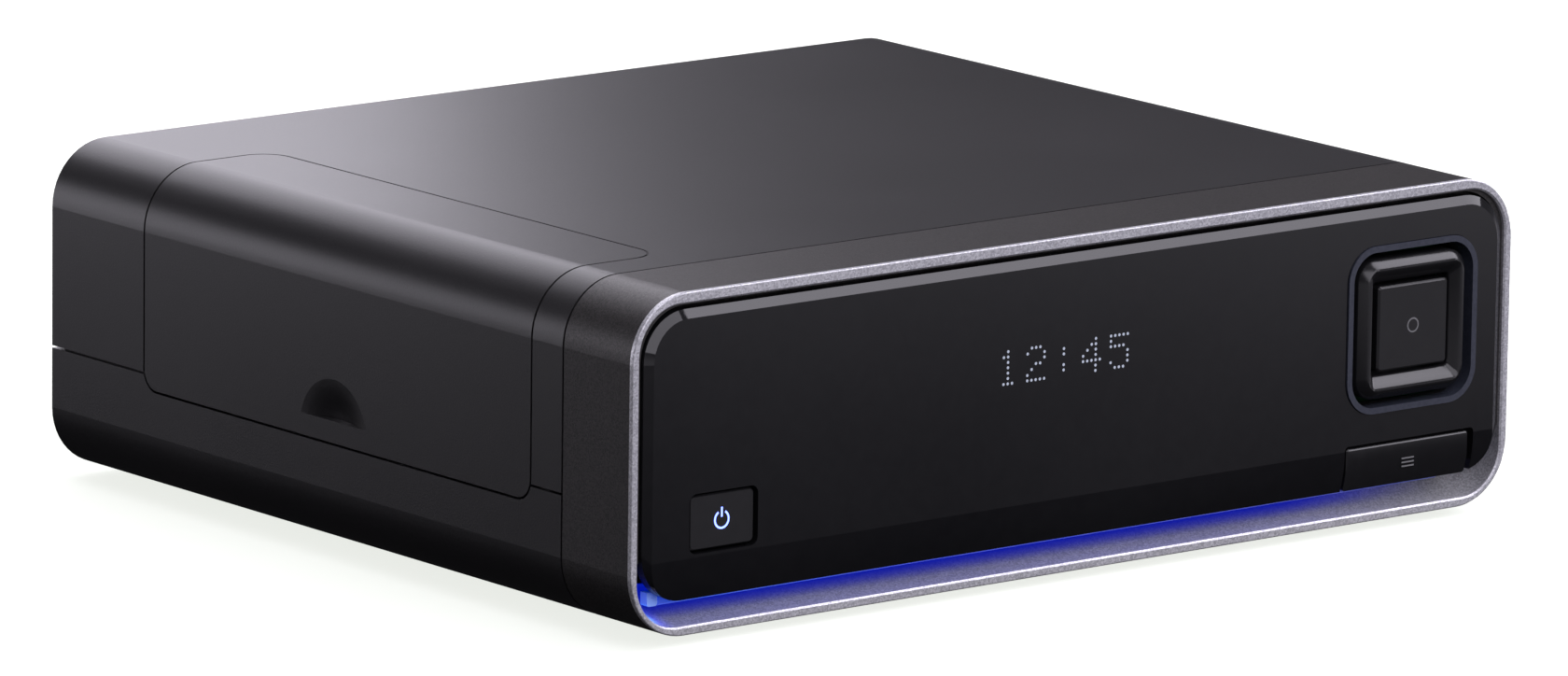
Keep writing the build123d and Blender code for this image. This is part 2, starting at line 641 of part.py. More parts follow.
def arm_profile():
    """A gooseneck arm in X and Z, from the pin's boss round to its pad under the door."""
    span = ARM_OUTER * 2
    ring = Circle(ARM_OUTER) - Circle(ARM_INNER)
    left = Pos(-span / 2, 0) * Rectangle(span, span)
    leg = Pos(0, -ARM_OUTER / 2) * Rectangle(ARM_STRIP, ARM_OUTER)
    corner = Pos(0, -(ARM_INNER + ARM_OUTER) / 2) * Circle(ARM_STRIP / 2)
    ceiling = HINGE_DEPTH - WALL
    pad = Pos(-ARM_OUTER - ARM_PAD_LENGTH / 2 + 0.5, ceiling - 1.0) * Rectangle(
        ARM_PAD_LENGTH + 1.0, 2.0)
    top_cut = Pos(0, ceiling + span / 2) * Rectangle(4 * span, span)
    leg &= Circle((ARM_INNER + ARM_OUTER) / 2)
    return Circle(HINGE_BOSS_RADIUS) + (ring & left) + leg + corner + pad - top_cut


def hinge_arms():
    """Two gooseneck arms that carry the door on its pins."""
    arms = []
    for side in (-1, 1):
        middle = DOOR_MIDDLE + side * ARM_MIDDLE
        y0 = middle - ARM_THICKNESS / 2
        y1 = middle + ARM_THICKNESS / 2
        arm = slab(Pos(HINGE_X, HINGE_Z) * arm_profile(), y0, y1)
        arm -= rod_y(HINGE_X, y0 - 1, y1 + 1, HINGE_Z, HINGE_PIN_RADIUS + BORE_GAP)
        arms.append(arm)
    return group(arms)


def hinge_pins():
    """Two shouldered pins through the bay's ears and the arms."""
    pins = []
    for side in (-1, 1):
        head = BAY_INNER_HALF - 1.0
        tip = ARM_MIDDLE + ARM_THICKNESS / 2 + 0.6
        ends = sorted((DOOR_MIDDLE + side * BAY_INNER_HALF, DOOR_MIDDLE + side * tip))
        pin = rod_y(HINGE_X, ends[0], ends[1], HINGE_Z, HINGE_PIN_RADIUS)
        ends = sorted((DOOR_MIDDLE + side * head, DOOR_MIDDLE + side * BAY_INNER_HALF))
        pins.append(pin + rod_y(HINGE_X, ends[0], ends[1], HINGE_Z, HINGE_BOSS_RADIUS))
    return group(pins)


def door_catches():
    """Two snap fingers on the tub's sill, just under the door's lower edge."""
    fingers = []
    for side in (-1, 1):
        middle = DOOR_MIDDLE + side * CATCH_SPACING / 2
        top = DOOR_BOTTOM - CATCH_GAP
        root = DOOR_BOTTOM - DOOR_GAP - 8
        stem = block(-INNER_SIDE, -INNER_SIDE + 1.5, middle - CATCH_WIDTH / 2,
                     middle + CATCH_WIDTH / 2, root, top)
        barb = rod_y(-INNER_SIDE + 1.0, middle - CATCH_WIDTH / 2, middle + CATCH_WIDTH / 2,
                     top - 0.9, 0.9)
        fingers.append(stem + barb)
    return group(fingers)


# ---------------------------------------------------------------- case shells
def vent_slots():
    """Air inlets in the tub's floor."""
    slots = []
    first = DOOR_MIDDLE - (VENT_ROWS - 1) * VENT_PITCH / 2
    for column in (-1, 1):
        for row in range(VENT_ROWS):
            plan = Pos(column * VENT_COLUMN, first + VENT_PITCH * row, BOTTOM - 1)
            plan *= SlotOverall(VENT_LENGTH, VENT_WIDTH)
            slots.append(extrude(plan, amount=WALL + 2))
    return slots


def base_tub():
    """The lower shell with its standoffs, pillars and seats."""
    y0 = SEAM + SEAM_GAP / 2
    lower = block(-SIDE - 1, SIDE + 1, y0, BACK, BOTTOM - 1, PART_Z - SEAM_GAP / 2)
    tub = case_shell(y0, BACK) & lower
    lip_start = SEAM + COLLAR_TONGUE + 1.0
    lip_band = block(-SIDE, SIDE, lip_start, BACK - WALL, PART_Z - 4, PART_Z + PART_LIP)
    tub += case_shell(lip_start, BACK - WALL, WALL / 2 + FIT_GAP, WALL) & lip_band
    # rib that the rear panel seats on
    rib_band = block(-SIDE, SIDE, REAR_INNER - REAR_RIB, REAR_INNER, BOTTOM, PART_Z - SEAM_GAP / 2)
    tub += case_shell(REAR_INNER - REAR_RIB, REAR_INNER, WALL - 0.1, REAR_RIB_HEIGHT) & rib_band
    for x, y in standoff_spots():
        tub += rod_z(x, y, FLOOR - 0.2, MAIN_BOTTOM, STANDOFF_RADIUS)
    for x, y in bay_pillar_spots():
        tub += rod_z(x, y, FLOOR - 0.2, BAY_FLOOR_BOTTOM, BAY_PILLAR_RADIUS)
    for x, y in case_screw_spots():
        tub += rod_z(x, y, BOTTOM + 1, PART_Z - SEAM_GAP / 2, BOSS_RADIUS) & case_core()
    for x, z in rear_screw_spots()[:2]:
        tub += block(x - REAR_LUG, x + REAR_LUG, REAR_INNER - REAR_LUG_DEPTH, REAR_INNER,
                     FLOOR - 0.2, z + REAR_LUG) & case_core()
    # holes
    for x, y in standoff_spots():
        tub -= rod_z(x, y, FLOOR - 1, MAIN_BOTTOM + 1, M3_SHANK + SCREW_GAP)
    for x, y in bay_pillar_spots():
        tub -= rod_z(x, y, BAY_FLOOR_BOTTOM - 10, BAY_FLOOR_BOTTOM + 1, M3_SHANK + SCREW_GAP)
    for x, y in case_screw_spots():
        tub -= rod_z(x, y, BOTTOM - 1, PART_Z + 1, M3_SHANK + SCREW_GAP)
        tub -= rod_z(x, y, BOTTOM - 1, BOTTOM + CASE_SCREW_SINK, M3_HEAD + SCREW_GAP)
    for x, z in rear_screw_spots()[:2]:
        tub -= rod_y(x, REAR_INNER - REAR_LUG_DEPTH + 1, REAR_INNER + 1, z, M3_SHANK + SCREW_GAP)
    for x, y in collar_screw_spots():
        tub -= rod_z(x, y, BOTTOM - 1, FLOOR + 1, M3_SHANK + SCREW_GAP)
        tub -= rod_z(x, y, BOTTOM - 1, BOTTOM + COLLAR_SCREW_SINK, M3_HEAD + SCREW_GAP)
    for x, y in foot_spots():
        tub -= rod_z(x, y, BOTTOM - 1, BOTTOM + FOOT_SEAT, FOOT_RADIUS + FIT_GAP)
    for slot in vent_slots():
        tub -= slot
    return tub - door_region(DOOR_GAP)


def case_core():
    """Everything inside the case's outer skin."""
    return slab(case_outline(0.5), SEAM, BACK)


def top_cover():
    """The upper shell, open on the left where the door sits."""
    y0 = SEAM + SEAM_GAP / 2
    upper = block(-SIDE - 1, SIDE + 1, y0, BACK, PART_Z + SEAM_GAP / 2, TOP + 1)
    cover = case_shell(y0, BACK) & upper
    rabbet = block(-SIDE, SIDE, y0 - 1, BACK + 1, PART_Z - 1, PART_Z + PART_LIP + FIT_GAP)
    cover -= case_shell(y0 - 1, BACK - WALL + FIT_GAP, WALL / 2, WALL + 1) & rabbet
    rib_band = block(-SIDE, SIDE, REAR_INNER - REAR_RIB, REAR_INNER,
                     PART_Z + PART_LIP + 0.5, TOP)
    cover += case_shell(REAR_INNER - REAR_RIB, REAR_INNER, WALL - 0.1, REAR_RIB_HEIGHT) & rib_band
    for x, y in case_screw_spots():
        cover += rod_z(x, y, PART_Z + SEAM_GAP / 2, TOP - 1, BOSS_RADIUS) & case_core()
    for x, z in rear_screw_spots()[2:]:
        cover += block(x - REAR_LUG, x + REAR_LUG, REAR_INNER - REAR_LUG_DEPTH, REAR_INNER,
                       z - REAR_LUG, CEILING + 0.2) & case_core()
    for x, y in case_screw_spots():
        top = PART_Z + CASE_SCREW_BITE + 2
        cover -= rod_z(x, y, PART_Z - 1, top, M3_SHANK + SCREW_GAP)
    for x, z in rear_screw_spots()[2:]:
        cover -= rod_y(x, REAR_INNER - REAR_LUG_DEPTH + 1, REAR_INNER + 1, z, M3_SHANK + SCREW_GAP)
    return cover - door_region(DOOR_GAP)


def cove_pocket(grow):
    """The space of the bezel's coved insert inside the collar."""
    outline = case_outline(COVE_SKIN - grow)
    band = block(-SIDE, SIDE, FRONT, FRONT + COVE_DEPTH + COVE_BACK_WALL + grow,
                 BOTTOM, BOTTOM + WING_HEIGHT + grow)
    return slab(outline, FRONT + BEZEL_DEPTH - grow, FRONT + COVE_DEPTH + COVE_BACK_WALL + grow) & band


def front_collar():
    """The dark collar between the bezel and the body, with its rib and rear tongue."""
    y0 = FRONT + BEZEL_DEPTH
    y1 = SEAM - SEAM_GAP / 2
    collar = case_shell(y0, y1)
    rib_start = CHASSIS_BACK + FIT_GAP
    rib_floor = BOTTOM + WING_HEIGHT + 1.0
    rib_band = block(-SIDE, SIDE, rib_start, rib_start + RIB_DEPTH, rib_floor, TOP)
    rib = case_shell(rib_start, rib_start + RIB_DEPTH, WALL - 0.1, WALL + RIB_WIDTH)
    collar += rib & rib_band
    inset = WALL + FIT_GAP
    tongue = case_shell(y1 - 5, SEAM + COLLAR_TONGUE, inset, inset + TONGUE_THICKNESS)
    root = case_shell(y1 - 5, y1 - 1, WALL - 0.1, inset + TONGUE_THICKNESS)
    collar += tongue + root
    for x, y in case_screw_spots():
        collar -= rod_z(x, y, BOTTOM, TOP, BOSS_RADIUS + 0.5) & block(
            -SIDE, SIDE, y1, SEAM + 20, FLOOR, CEILING)
    for x, y in collar_screw_spots():
        base = FLOOR + FIT_GAP
        collar += block(x - 4, x + 4, y1 - 4, y + 3.5, base, base + 6)
        collar -= rod_z(x, y, base - 1, base + 5, M3_SHANK + SCREW_GAP)
    return collar - cove_pocket(FIT_GAP)


def cove_outline(back, grow=0.0):
    """The bezel's opening: back is 0 at the front and 1 at the back of the cove."""
    half = SIDE - BEZEL_SIDE - COVE_NARROWING * back + grow
    low = BOTTOM + SILL_LIP + COVE_RISE * back - grow
    high = TOP - BEZEL_TOP + grow
    corner = COVE_CORNER - COVE_CORNER_LOSS * back + grow
    return round_box(0, (low + high) / 2, 2 * half, high - low, corner)


def cove_section(angle):
    """The bezel's opening part of the way into the cove."""
    return upright(FRONT + COVE_DEPTH * sin(radians(angle)), cove_outline(1 - cos(radians(angle))))


def silver_bezel():
    """The silver frame with its coved sill."""
    frame = slab(case_outline(0), FRONT, FRONT + BEZEL_DEPTH)
    frame = fillet(frame.edges().group_by(Axis.Y)[0], BEZEL_ROUND)
    bezel = frame + cove_pocket(0)
    # above the cove the opening runs on through the insert's back wall
    bezel -= extrude(cove_section(90), amount=-COVE_BACK_WALL - 1)
    angles = [90.0 * step / (COVE_STEPS - 1) for step in range(COVE_STEPS)]
    bezel -= loft([cove_section(angle) for angle in angles])
    edge = BEZEL_INNER_CHAMFER
    bezel -= loft([upright(FRONT - edge, cove_outline(0, 2 * edge)),
                   upright(FRONT + 2 * edge, cove_outline(0, -edge))], ruled=True)
    return bezel


# ---------------------------------------------------------------- front panel and what it holds
def panel_outline(inset):
    """The front panel's outline; its lower edge stays where it is."""
    width = 2 * (PANEL_SIDE - inset)
    height = PANEL_TOP - inset - PANEL_BOTTOM
    return round_box(0, PANEL_BOTTOM + height / 2, width, height, PANEL_CORNER - inset)


def curl_cutter(y_flat):
    """What lies in front of a face that curls back towards the panel's lower edge."""
    curl_radius = (PANEL_CURL_HEIGHT ** 2 + PANEL_CURL ** 2) / (2 * PANEL_CURL)
    start = PANEL_BOTTOM + PANEL_CURL_HEIGHT
    solid = rod_x(-SIDE, SIDE, y_flat + curl_radius, start, curl_radius)
    front = block(-SIDE, SIDE, y_flat - 5, y_flat + curl_radius, BOTTOM - 20, start)
    return front - solid


def panel_openings(grow):
    """Openings of the power button, the pad and the option button."""
    power = round_box(POWER_X, POWER_MIDDLE, POWER_WIDTH + 2 * BUTTON_GAP + 2 * grow,
                      POWER_HEIGHT + 2 * BUTTON_GAP + 2 * grow, POWER_CORNER + BUTTON_GAP)
    trim = TRIM_OUTER + 2 * FIT_GAP + 2 * grow
    pad = round_box(PAD_X, PAD_MIDDLE, trim, trim, TRIM_CORNER)
    option_width = OPTION_WIDTH + OPTION_GAP + OPTION_RIGHT_GAP + 2 * grow
    option_height = OPTION_HEIGHT + OPTION_GAP + grow + 5
    option = round_box(OPTION_X + (OPTION_RIGHT_GAP - OPTION_GAP) / 2,
                       OPTION_TOP + OPTION_GAP + grow - option_height / 2,
                       option_width, option_height, 1.0)
    return power + pad + option


def front_panel():
    """The gloss black panel, bevelled at the sides and the top and curled at its foot."""
    face = upright(PANEL_FACE, panel_outline(PANEL_CHAMFER))
    shoulder = upright(PANEL_FACE + PANEL_CHAMFER_DEPTH, panel_outline(0))
    bevelled = loft([face, shoulder], ruled=True)
    plate = slab(panel_outline(0), PANEL_FACE + PANEL_CHAMFER_DEPTH, PANEL_BACK)
    panel = bevelled + plate - curl_cutter(PANEL_FACE)
    return panel - slab(panel_openings(0), PANEL_FACE - 1, PANEL_BACK + 1)


def front_chassis():
    """The black frame behind the panel that guides the buttons and carries the board."""
    inset = CHASSIS_INSET
    plate_outline = round_box(0, (CHASSIS_BOTTOM + PANEL_TOP - inset) / 2, 2 * (PANEL_SIDE - inset),
                              PANEL_TOP - inset - CHASSIS_BOTTOM, PANEL_CORNER - inset)
    chassis = slab(plate_outline, CHASSIS_FACE, CHASSIS_BACK)
    shelf_half = PANEL_SIDE - PANEL_CORNER
    shelf_back = FRONT + COVE_DEPTH + COVE_BACK_WALL
    chassis += block(-shelf_half, shelf_half, CHASSIS_BACK - 0.5, shelf_back,
                     CHASSIS_BOTTOM, CHASSIS_BOTTOM + CHASSIS_SHELF)
    for x, z in front_screw_spots():
        chassis += rod_y(x, CHASSIS_BACK - 0.5, FRONT_BOARD_FACE, z, STANDOFF_RADIUS)
    # lugs of the pad's gimbal
    for side in (-1, 1):
        x = PAD_X + side * CHASSIS_LUG_REACH
        chassis += block(x - LUG_THICKNESS / 2, x + LUG_THICKNESS / 2, CHASSIS_BACK - 0.5,
                         GIMBAL_Y + 1.7, PAD_MIDDLE - LUG_WIDTH / 2, PAD_MIDDLE + LUG_WIDTH / 2)
    chassis -= slab(chassis_openings(), CHASSIS_FACE - 1, CHASSIS_BACK + 1)
    bore = TRUNNION_RADIUS + BORE_GAP
    reach = CHASSIS_LUG_REACH + LUG_THICKNESS
    chassis -= rod_x(PAD_X - reach, PAD_X + reach, GIMBAL_Y, PAD_MIDDLE, bore)
    for x, z in front_screw_spots():
        chassis -= rod_y(x, FRONT_BOARD_FACE - 5, FRONT_BOARD_FACE + 1, z, M3_SHANK + SCREW_GAP)
    return chassis


def chassis_openings():
    """Holes in the chassis for the plungers, the pad, the display and the receiver."""
    power = round_box(POWER_X, POWER_MIDDLE, POWER_WIDTH + 2 * BUTTON_GAP,
                      POWER_HEIGHT + 2 * BUTTON_GAP, POWER_CORNER)
    well = TRIM_OUTER - 2 * TRIM_WIDTH
    pad = round_box(PAD_X, PAD_MIDDLE, well, well, TRIM_CORNER - TRIM_WIDTH)
    option = round_box(OPTION_X, OPTION_STEM_Z, OPTION_STEM_WIDTH + 1.6, OPTION_STEM_HEIGHT + 0.8,
                       1.0)
    window = round_box(DISPLAY_X, DISPLAY_MIDDLE, WINDOW_WIDTH, WINDOW_HEIGHT, 1.0)
    receiver = Pos(RECEIVER_X, RECEIVER_MIDDLE) * Circle(RECEIVER_SIZE / 2)
    return power + pad + option + window + receiver


def nav_trim():
    """The thin frame line round the pad's well."""
    inner = TRIM_OUTER - 2 * TRIM_WIDTH
    outline = round_box(PAD_X, PAD_MIDDLE, TRIM_OUTER, TRIM_OUTER, TRIM_CORNER)
    outline -= round_box(PAD_X, PAD_MIDDLE, inner, inner, TRIM_CORNER - TRIM_WIDTH)
    return slab(outline, PANEL_BACK + CHASSIS_GAP - TRIM_DEPTH - 0.1, PANEL_BACK + CHASSIS_GAP)


def pad_square(y, size, corner):
    """A rounded square about the pad's middle at depth y."""
    return upright(y, round_box(PAD_X, PAD_MIDDLE, size, size, corner))


def nav_pad():
    """The four-way pad: a ridge round the centre button, with lugs for the gimbal behind."""
    rim_y = PAD_FACE + 1.3
    outer = loft([pad_square(PAD_FACE, PAD_RIDGE, PAD_CORNER - 2),
                  pad_square(rim_y, PAD_SIZE, PAD_CORNER)], ruled=True)
    body = slab(round_box(PAD_X, PAD_MIDDLE, PAD_SIZE, PAD_SIZE, PAD_CORNER), rim_y,
                PAD_FACE + PAD_DEPTH)
    pad = outer + body
    hole_width = OK_WIDTH + 2 * OK_GAP
    hole_height = OK_HEIGHT + 2 * OK_GAP
    slope_face = upright(PAD_FACE - 0.01, round_box(
        PAD_X, PAD_MIDDLE, hole_width + 2 * OK_SLOPE, hole_height + 2 * OK_SLOPE, OK_CORNER + 1))
    slope_end = upright(PAD_FACE + 1.0, round_box(
        PAD_X, PAD_MIDDLE, hole_width, hole_height, OK_CORNER))
    pad -= loft([slope_face, slope_end], ruled=True)
    pad -= slab(round_box(PAD_X, PAD_MIDDLE, hole_width, hole_height, OK_CORNER),
                PAD_FACE - 1, PAD_FACE + PAD_DEPTH + 1)
    back = PAD_FACE + PAD_DEPTH
    for side in (-1, 1):
        z = PAD_MIDDLE + side * PAD_LUG_REACH
        lug = block(PAD_X - LUG_WIDTH / 2, PAD_X + LUG_WIDTH / 2, back - 0.5, GIMBAL_Y + 1.2,
                    z - 0.8, z + 0.8)
        pad += lug
        post_x = PAD_X + side * PAD_LUG_REACH
        pad += rod_y(post_x, back - 0.5, SWITCH_FACE - 1.0, PAD_MIDDLE - 5.0, 1.2)
    pad -= rod_z(PAD_X, GIMBAL_Y, PAD_MIDDLE - PAD_SIZE, PAD_MIDDLE + PAD_SIZE,
                 TRUNNION_RADIUS + BORE_GAP)
    return pad


def nav_gimbal():
    """The cross that lets the pad tilt up and down, and left and right."""
    ring = rod_y(PAD_X, GIMBAL_Y - GIMBAL_THICKNESS / 2, GIMBAL_Y + GIMBAL_THICKNESS / 2,
                 PAD_MIDDLE, GIMBAL_OUTER)
    reach_x = CHASSIS_LUG_REACH + LUG_THICKNESS / 2
    reach_z = PAD_LUG_REACH + 0.8
    pins = rod_x(PAD_X - reach_x, PAD_X + reach_x, GIMBAL_Y, PAD_MIDDLE, TRUNNION_RADIUS)
    pins += rod_z(PAD_X, GIMBAL_Y, PAD_MIDDLE - reach_z, PAD_MIDDLE + reach_z, TRUNNION_RADIUS)
    hole = rod_y(PAD_X, GIMBAL_Y - 5, GIMBAL_Y + 5, PAD_MIDDLE, GIMBAL_INNER)
    return ring + pins - hole


def ok_button():
    """The pad's centre button with its flange and plunger."""
    skirt_back = PAD_FACE + PAD_DEPTH + OK_FLANGE_GAP
    cap = slab(round_box(PAD_X, PAD_MIDDLE, OK_WIDTH, OK_HEIGHT, OK_CORNER), OK_FACE, skirt_back)
    cap = chamfer(cap.edges().group_by(Axis.Y)[0], 0.4)
    flange = slab(round_box(PAD_X, PAD_MIDDLE, OK_WIDTH + 2.6, OK_HEIGHT + 2.6, OK_CORNER),
                  skirt_back, skirt_back + 1.0)
    plunger = rod_y(PAD_X, skirt_back, SWITCH_FACE - BUTTON_TRAVEL - 0.1, PAD_MIDDLE, PLUNGER_RADIUS)
    return cap + flange + plunger


def power_button():
    """The power button with its flange and plunger."""
    face = PANEL_FACE + POWER_SINK
    back = CHASSIS_BACK + 0.15
    cap = slab(round_box(POWER_X, POWER_MIDDLE, POWER_WIDTH, POWER_HEIGHT, POWER_CORNER), face, back)
    cap = chamfer(cap.edges().group_by(Axis.Y)[0], 0.3)
    flange = slab(round_box(POWER_X, POWER_MIDDLE, POWER_WIDTH + 3, POWER_HEIGHT + 3,
                            POWER_CORNER), back, back + 1.0)
    plunger = rod_y(POWER_X, back, SWITCH_FACE - BUTTON_TRAVEL - 0.1, POWER_MIDDLE, PLUNGER_RADIUS)
    return cap + flange + plunger


def option_button():
    """The wide button at the panel's foot; it follows the panel's curl."""
    back = PANEL_FACE + OPTION_THICKNESS
    cap = slab(round_box(OPTION_X, OPTION_MIDDLE, OPTION_WIDTH, OPTION_HEIGHT, 0.6),
               PANEL_FACE, back)
    front = cap.edges().group_by(Axis.Y)[0].filter_by(GeomType.LINE)
    cap = chamfer([front.sort_by(Axis.Z)[-1], front.sort_by(Axis.X)[-1]], OPTION_EDGE)
    cap = cap - curl_cutter(PANEL_FACE)
    z = OPTION_STEM_Z
    catch = CHASSIS_BACK + 0.15
    stem = slab(round_box(OPTION_X, z, OPTION_STEM_WIDTH, OPTION_STEM_HEIGHT, 0.5), back, catch)
    flange = slab(round_box(OPTION_X, z, OPTION_STEM_WIDTH + 4, OPTION_STEM_HEIGHT, 0.5),
                  catch, catch + 1.0)
    plunger = rod_y(OPTION_X, catch, SWITCH_FACE - BUTTON_TRAVEL - 0.1, z,
                    OPTION_STEM_HEIGHT / 2)
    return cap + stem + flange + plunger


def light_guide():
    """The clear bar behind the panel's foot that lights the sill."""
    y0 = FRONT + GUIDE_SETBACK
    low = PANEL_BOTTOM - GUIDE_DROP
    bar = block(-GUIDE_LEFT + LED_LENGTH, GUIDE_RIGHT, y0, y0 + GUIDE_THICKNESS, low,
                CHASSIS_BOTTOM - FIT_GAP)
    return chamfer(bar.edges().filter_by(Axis.X).group_by(Axis.Z)[0], 0.3)


def glow_led():
    """The blue lamp at the light guide's left end."""
    y0 = FRONT + GUIDE_SETBACK
    low = PANEL_BOTTOM - GUIDE_DROP
    body = block(-GUIDE_LEFT, -GUIDE_LEFT + LED_LENGTH - FIT_GAP, y0, y0 + GUIDE_THICKNESS,
                 low, CHASSIS_BOTTOM - FIT_GAP)
    return fillet(body.edges().filter_by(Axis.Y).group_by(Axis.Z)[0], 0.6)


def front_board():
    """The circuit board behind the chassis."""
    half = PANEL_SIDE - 5.0
    low = CHASSIS_BOTTOM + 4.0
    high = PANEL_TOP - 4.0
    board = slab(round_box(0, (low + high) / 2, 2 * half, high - low, 3.0),
                 FRONT_BOARD_FACE, FRONT_BOARD_FACE + BOARD_THICKNESS)
    for x, z in front_screw_spots():
        board -= rod_y(x, FRONT_BOARD_FACE - 1, FRONT_BOARD_FACE + 3, z, M3_SHANK + SCREW_GAP)
    return board


def front_screws():
    """Screws of the front board."""
    back = FRONT_BOARD_FACE + BOARD_THICKNESS
    one = screw(FRONT_SCREW_LENGTH)
    return group([Pos(x, back, z) * FACING_BACK * one for x, z in front_screw_spots()])


def tact_switches():
    """The push switches on the front board."""
    switches = []
    for x, z in switch_spots().values():
        body = slab(round_box(x, z, SWITCH_SIZE, SWITCH_SIZE, 0.5), SWITCH_FACE + 0.4,
                    FRONT_BOARD_FACE)
        switches.append(body + rod_y(x, SWITCH_FACE, SWITCH_FACE + 0.4, z, 1.6))
    return group(switches)


def display_module():
    """The dot-matrix display behind the panel."""
    z = DISPLAY_MIDDLE
    glass = slab(round_box(DISPLAY_X, z, DISPLAY_WIDTH, DISPLAY_HEIGHT, 1.0), CHASSIS_BACK + 0.2,
                 FRONT_BOARD_FACE - 2.0)
    tube = slab(round_box(DISPLAY_X, z, WINDOW_WIDTH - 1, WINDOW_HEIGHT - 1, 0.8),
                CHASSIS_FACE + 0.4, CHASSIS_BACK + 0.3)
    pins = [rod_y(DISPLAY_X + side * (DISPLAY_WIDTH / 2 - 3 - 2.54 * k), FRONT_BOARD_FACE - 2.1,
                  FRONT_BOARD_FACE, z - DISPLAY_HEIGHT / 2 + 1.5, 0.4)
            for side in (-1, 1) for k in range(5)]
    module = glass + tube
    for pin in pins:
        module += pin
    return module


def ir_receiver():
    """The remote control's receiver."""
    z = RECEIVER_MIDDLE
    size = RECEIVER_SIZE
    body = block(RECEIVER_X - size / 2, RECEIVER_X + size / 2, CHASSIS_BACK + 1.2,
                 FRONT_BOARD_FACE, z - size / 2, z + size / 2)
    dome = Pos(RECEIVER_X, CHASSIS_BACK + 1.4, z) * Sphere(size / 2 - 0.4)
    front = block(RECEIVER_X - size, RECEIVER_X + size, CHASSIS_FACE - 2, CHASSIS_BACK + 1.4,
                  z - size, z + size)
    return body + (dome & front)


# ---------------------------------------------------------------- drive bay, tray and drive
def bay_sheet_holes():
    """Cooling slots in the bay's floor."""
    first = (BAY_LEFT + BAY_RIGHT - (BAY_SLOTS - 1) * BAY_SLOT_PITCH) / 2
    slot = SlotOverall(BAY_SLOT_LENGTH, BAY_SLOT_WIDTH, rotation=90)
    return [extrude(Pos(first + BAY_SLOT_PITCH * k, DOOR_MIDDLE, BAY_FLOOR_BOTTOM - 1) * slot,
                    amount=BAY_SHEET + 2) for k in range(BAY_SLOTS)]


def drive_bay():
    """The sheet-metal cage that the tray slides in, with ears for the hinge pins."""
    floor = block(BAY_LEFT, BAY_RIGHT + BAY_SHEET, DOOR_MIDDLE - BAY_HALF, DOOR_MIDDLE + BAY_HALF,
                  BAY_FLOOR_BOTTOM, BAY_FLOOR_TOP)
    bay = floor
    wall_top = BAY_FLOOR_TOP + BAY_WALL_HEIGHT
    for side in (-1, 1):
        ends = sorted((DOOR_MIDDLE + side * BAY_INNER_HALF, DOOR_MIDDLE + side * BAY_HALF))
        bay += block(BAY_LEFT, BAY_RIGHT + BAY_SHEET, ends[0], ends[1], BAY_FLOOR_BOTTOM, wall_top)
        ear = Pos(HINGE_X, (wall_top + HINGE_Z) / 2 - 1) * Rectangle(
            10.0, HINGE_Z - wall_top + 2.0) + Pos(HINGE_X, HINGE_Z) * Circle(HINGE_BOSS_RADIUS)
        foot = Pos(HINGE_X, wall_top - 2) * Rectangle(20.0, 6.0)
        bay += slab(ear + foot, ends[0], ends[1])
    bay += block(BAY_RIGHT, BAY_RIGHT + BAY_SHEET, DOOR_MIDDLE - BAY_HALF, DOOR_MIDDLE + BAY_HALF,
                 BAY_FLOOR_BOTTOM, wall_top)
    for x, y in bay_pillar_spots():
        inner = DOOR_MIDDLE + (BAY_HALF - 0.5) * (1 if y > DOOR_MIDDLE else -1)
        outer = y + BAY_TAB / 2 * (1 if y > DOOR_MIDDLE else -1)
        ends = sorted((inner, outer))
        bay += block(x - 6, x + 6, ends[0], ends[1], BAY_FLOOR_BOTTOM, BAY_FLOOR_TOP)
    for x, y in bay_pillar_spots():
        bay -= rod_z(x, y, BAY_FLOOR_BOTTOM - 1, BAY_FLOOR_TOP + 1, M3_SHANK + SCREW_GAP)
    bay -= rod_y(HINGE_X, DOOR_MIDDLE - BAY_HALF - 1, DOOR_MIDDLE + BAY_HALF + 1, HINGE_Z,
                 HINGE_PIN_RADIUS + PRESS_GAP)
    bay -= block(BAY_RIGHT - 1, BAY_RIGHT + 3, PLUG_MIDDLE - PLUG_NOTCH_WIDTH / 2,
                 PLUG_MIDDLE + PLUG_NOTCH_WIDTH / 2, DRIVE_BOTTOM, DRIVE_BOTTOM + PLUG_NOTCH_HEIGHT)
    for hole in bay_sheet_holes():
        bay -= hole
    return bay


def bay_screws():
    """Screws that hold the bay on the tub's pillars."""
    return group([Pos(x, y, BAY_FLOOR_TOP) * screw(BAY_SCREW_LENGTH) for x, y in bay_pillar_spots()])


def drive_screw_spots():
    """The drive's bottom holes."""
    columns = (DRIVE_RIGHT - DRIVE_HOLE_NEAR, DRIVE_RIGHT - DRIVE_HOLE_NEAR - DRIVE_HOLE_STEP)
    reach = DRIVE_WIDTH / 2 - DRIVE_HOLE_EDGE
    return [(x, DOOR_MIDDLE + side * reach) for x in columns for side in (-1, 1)]


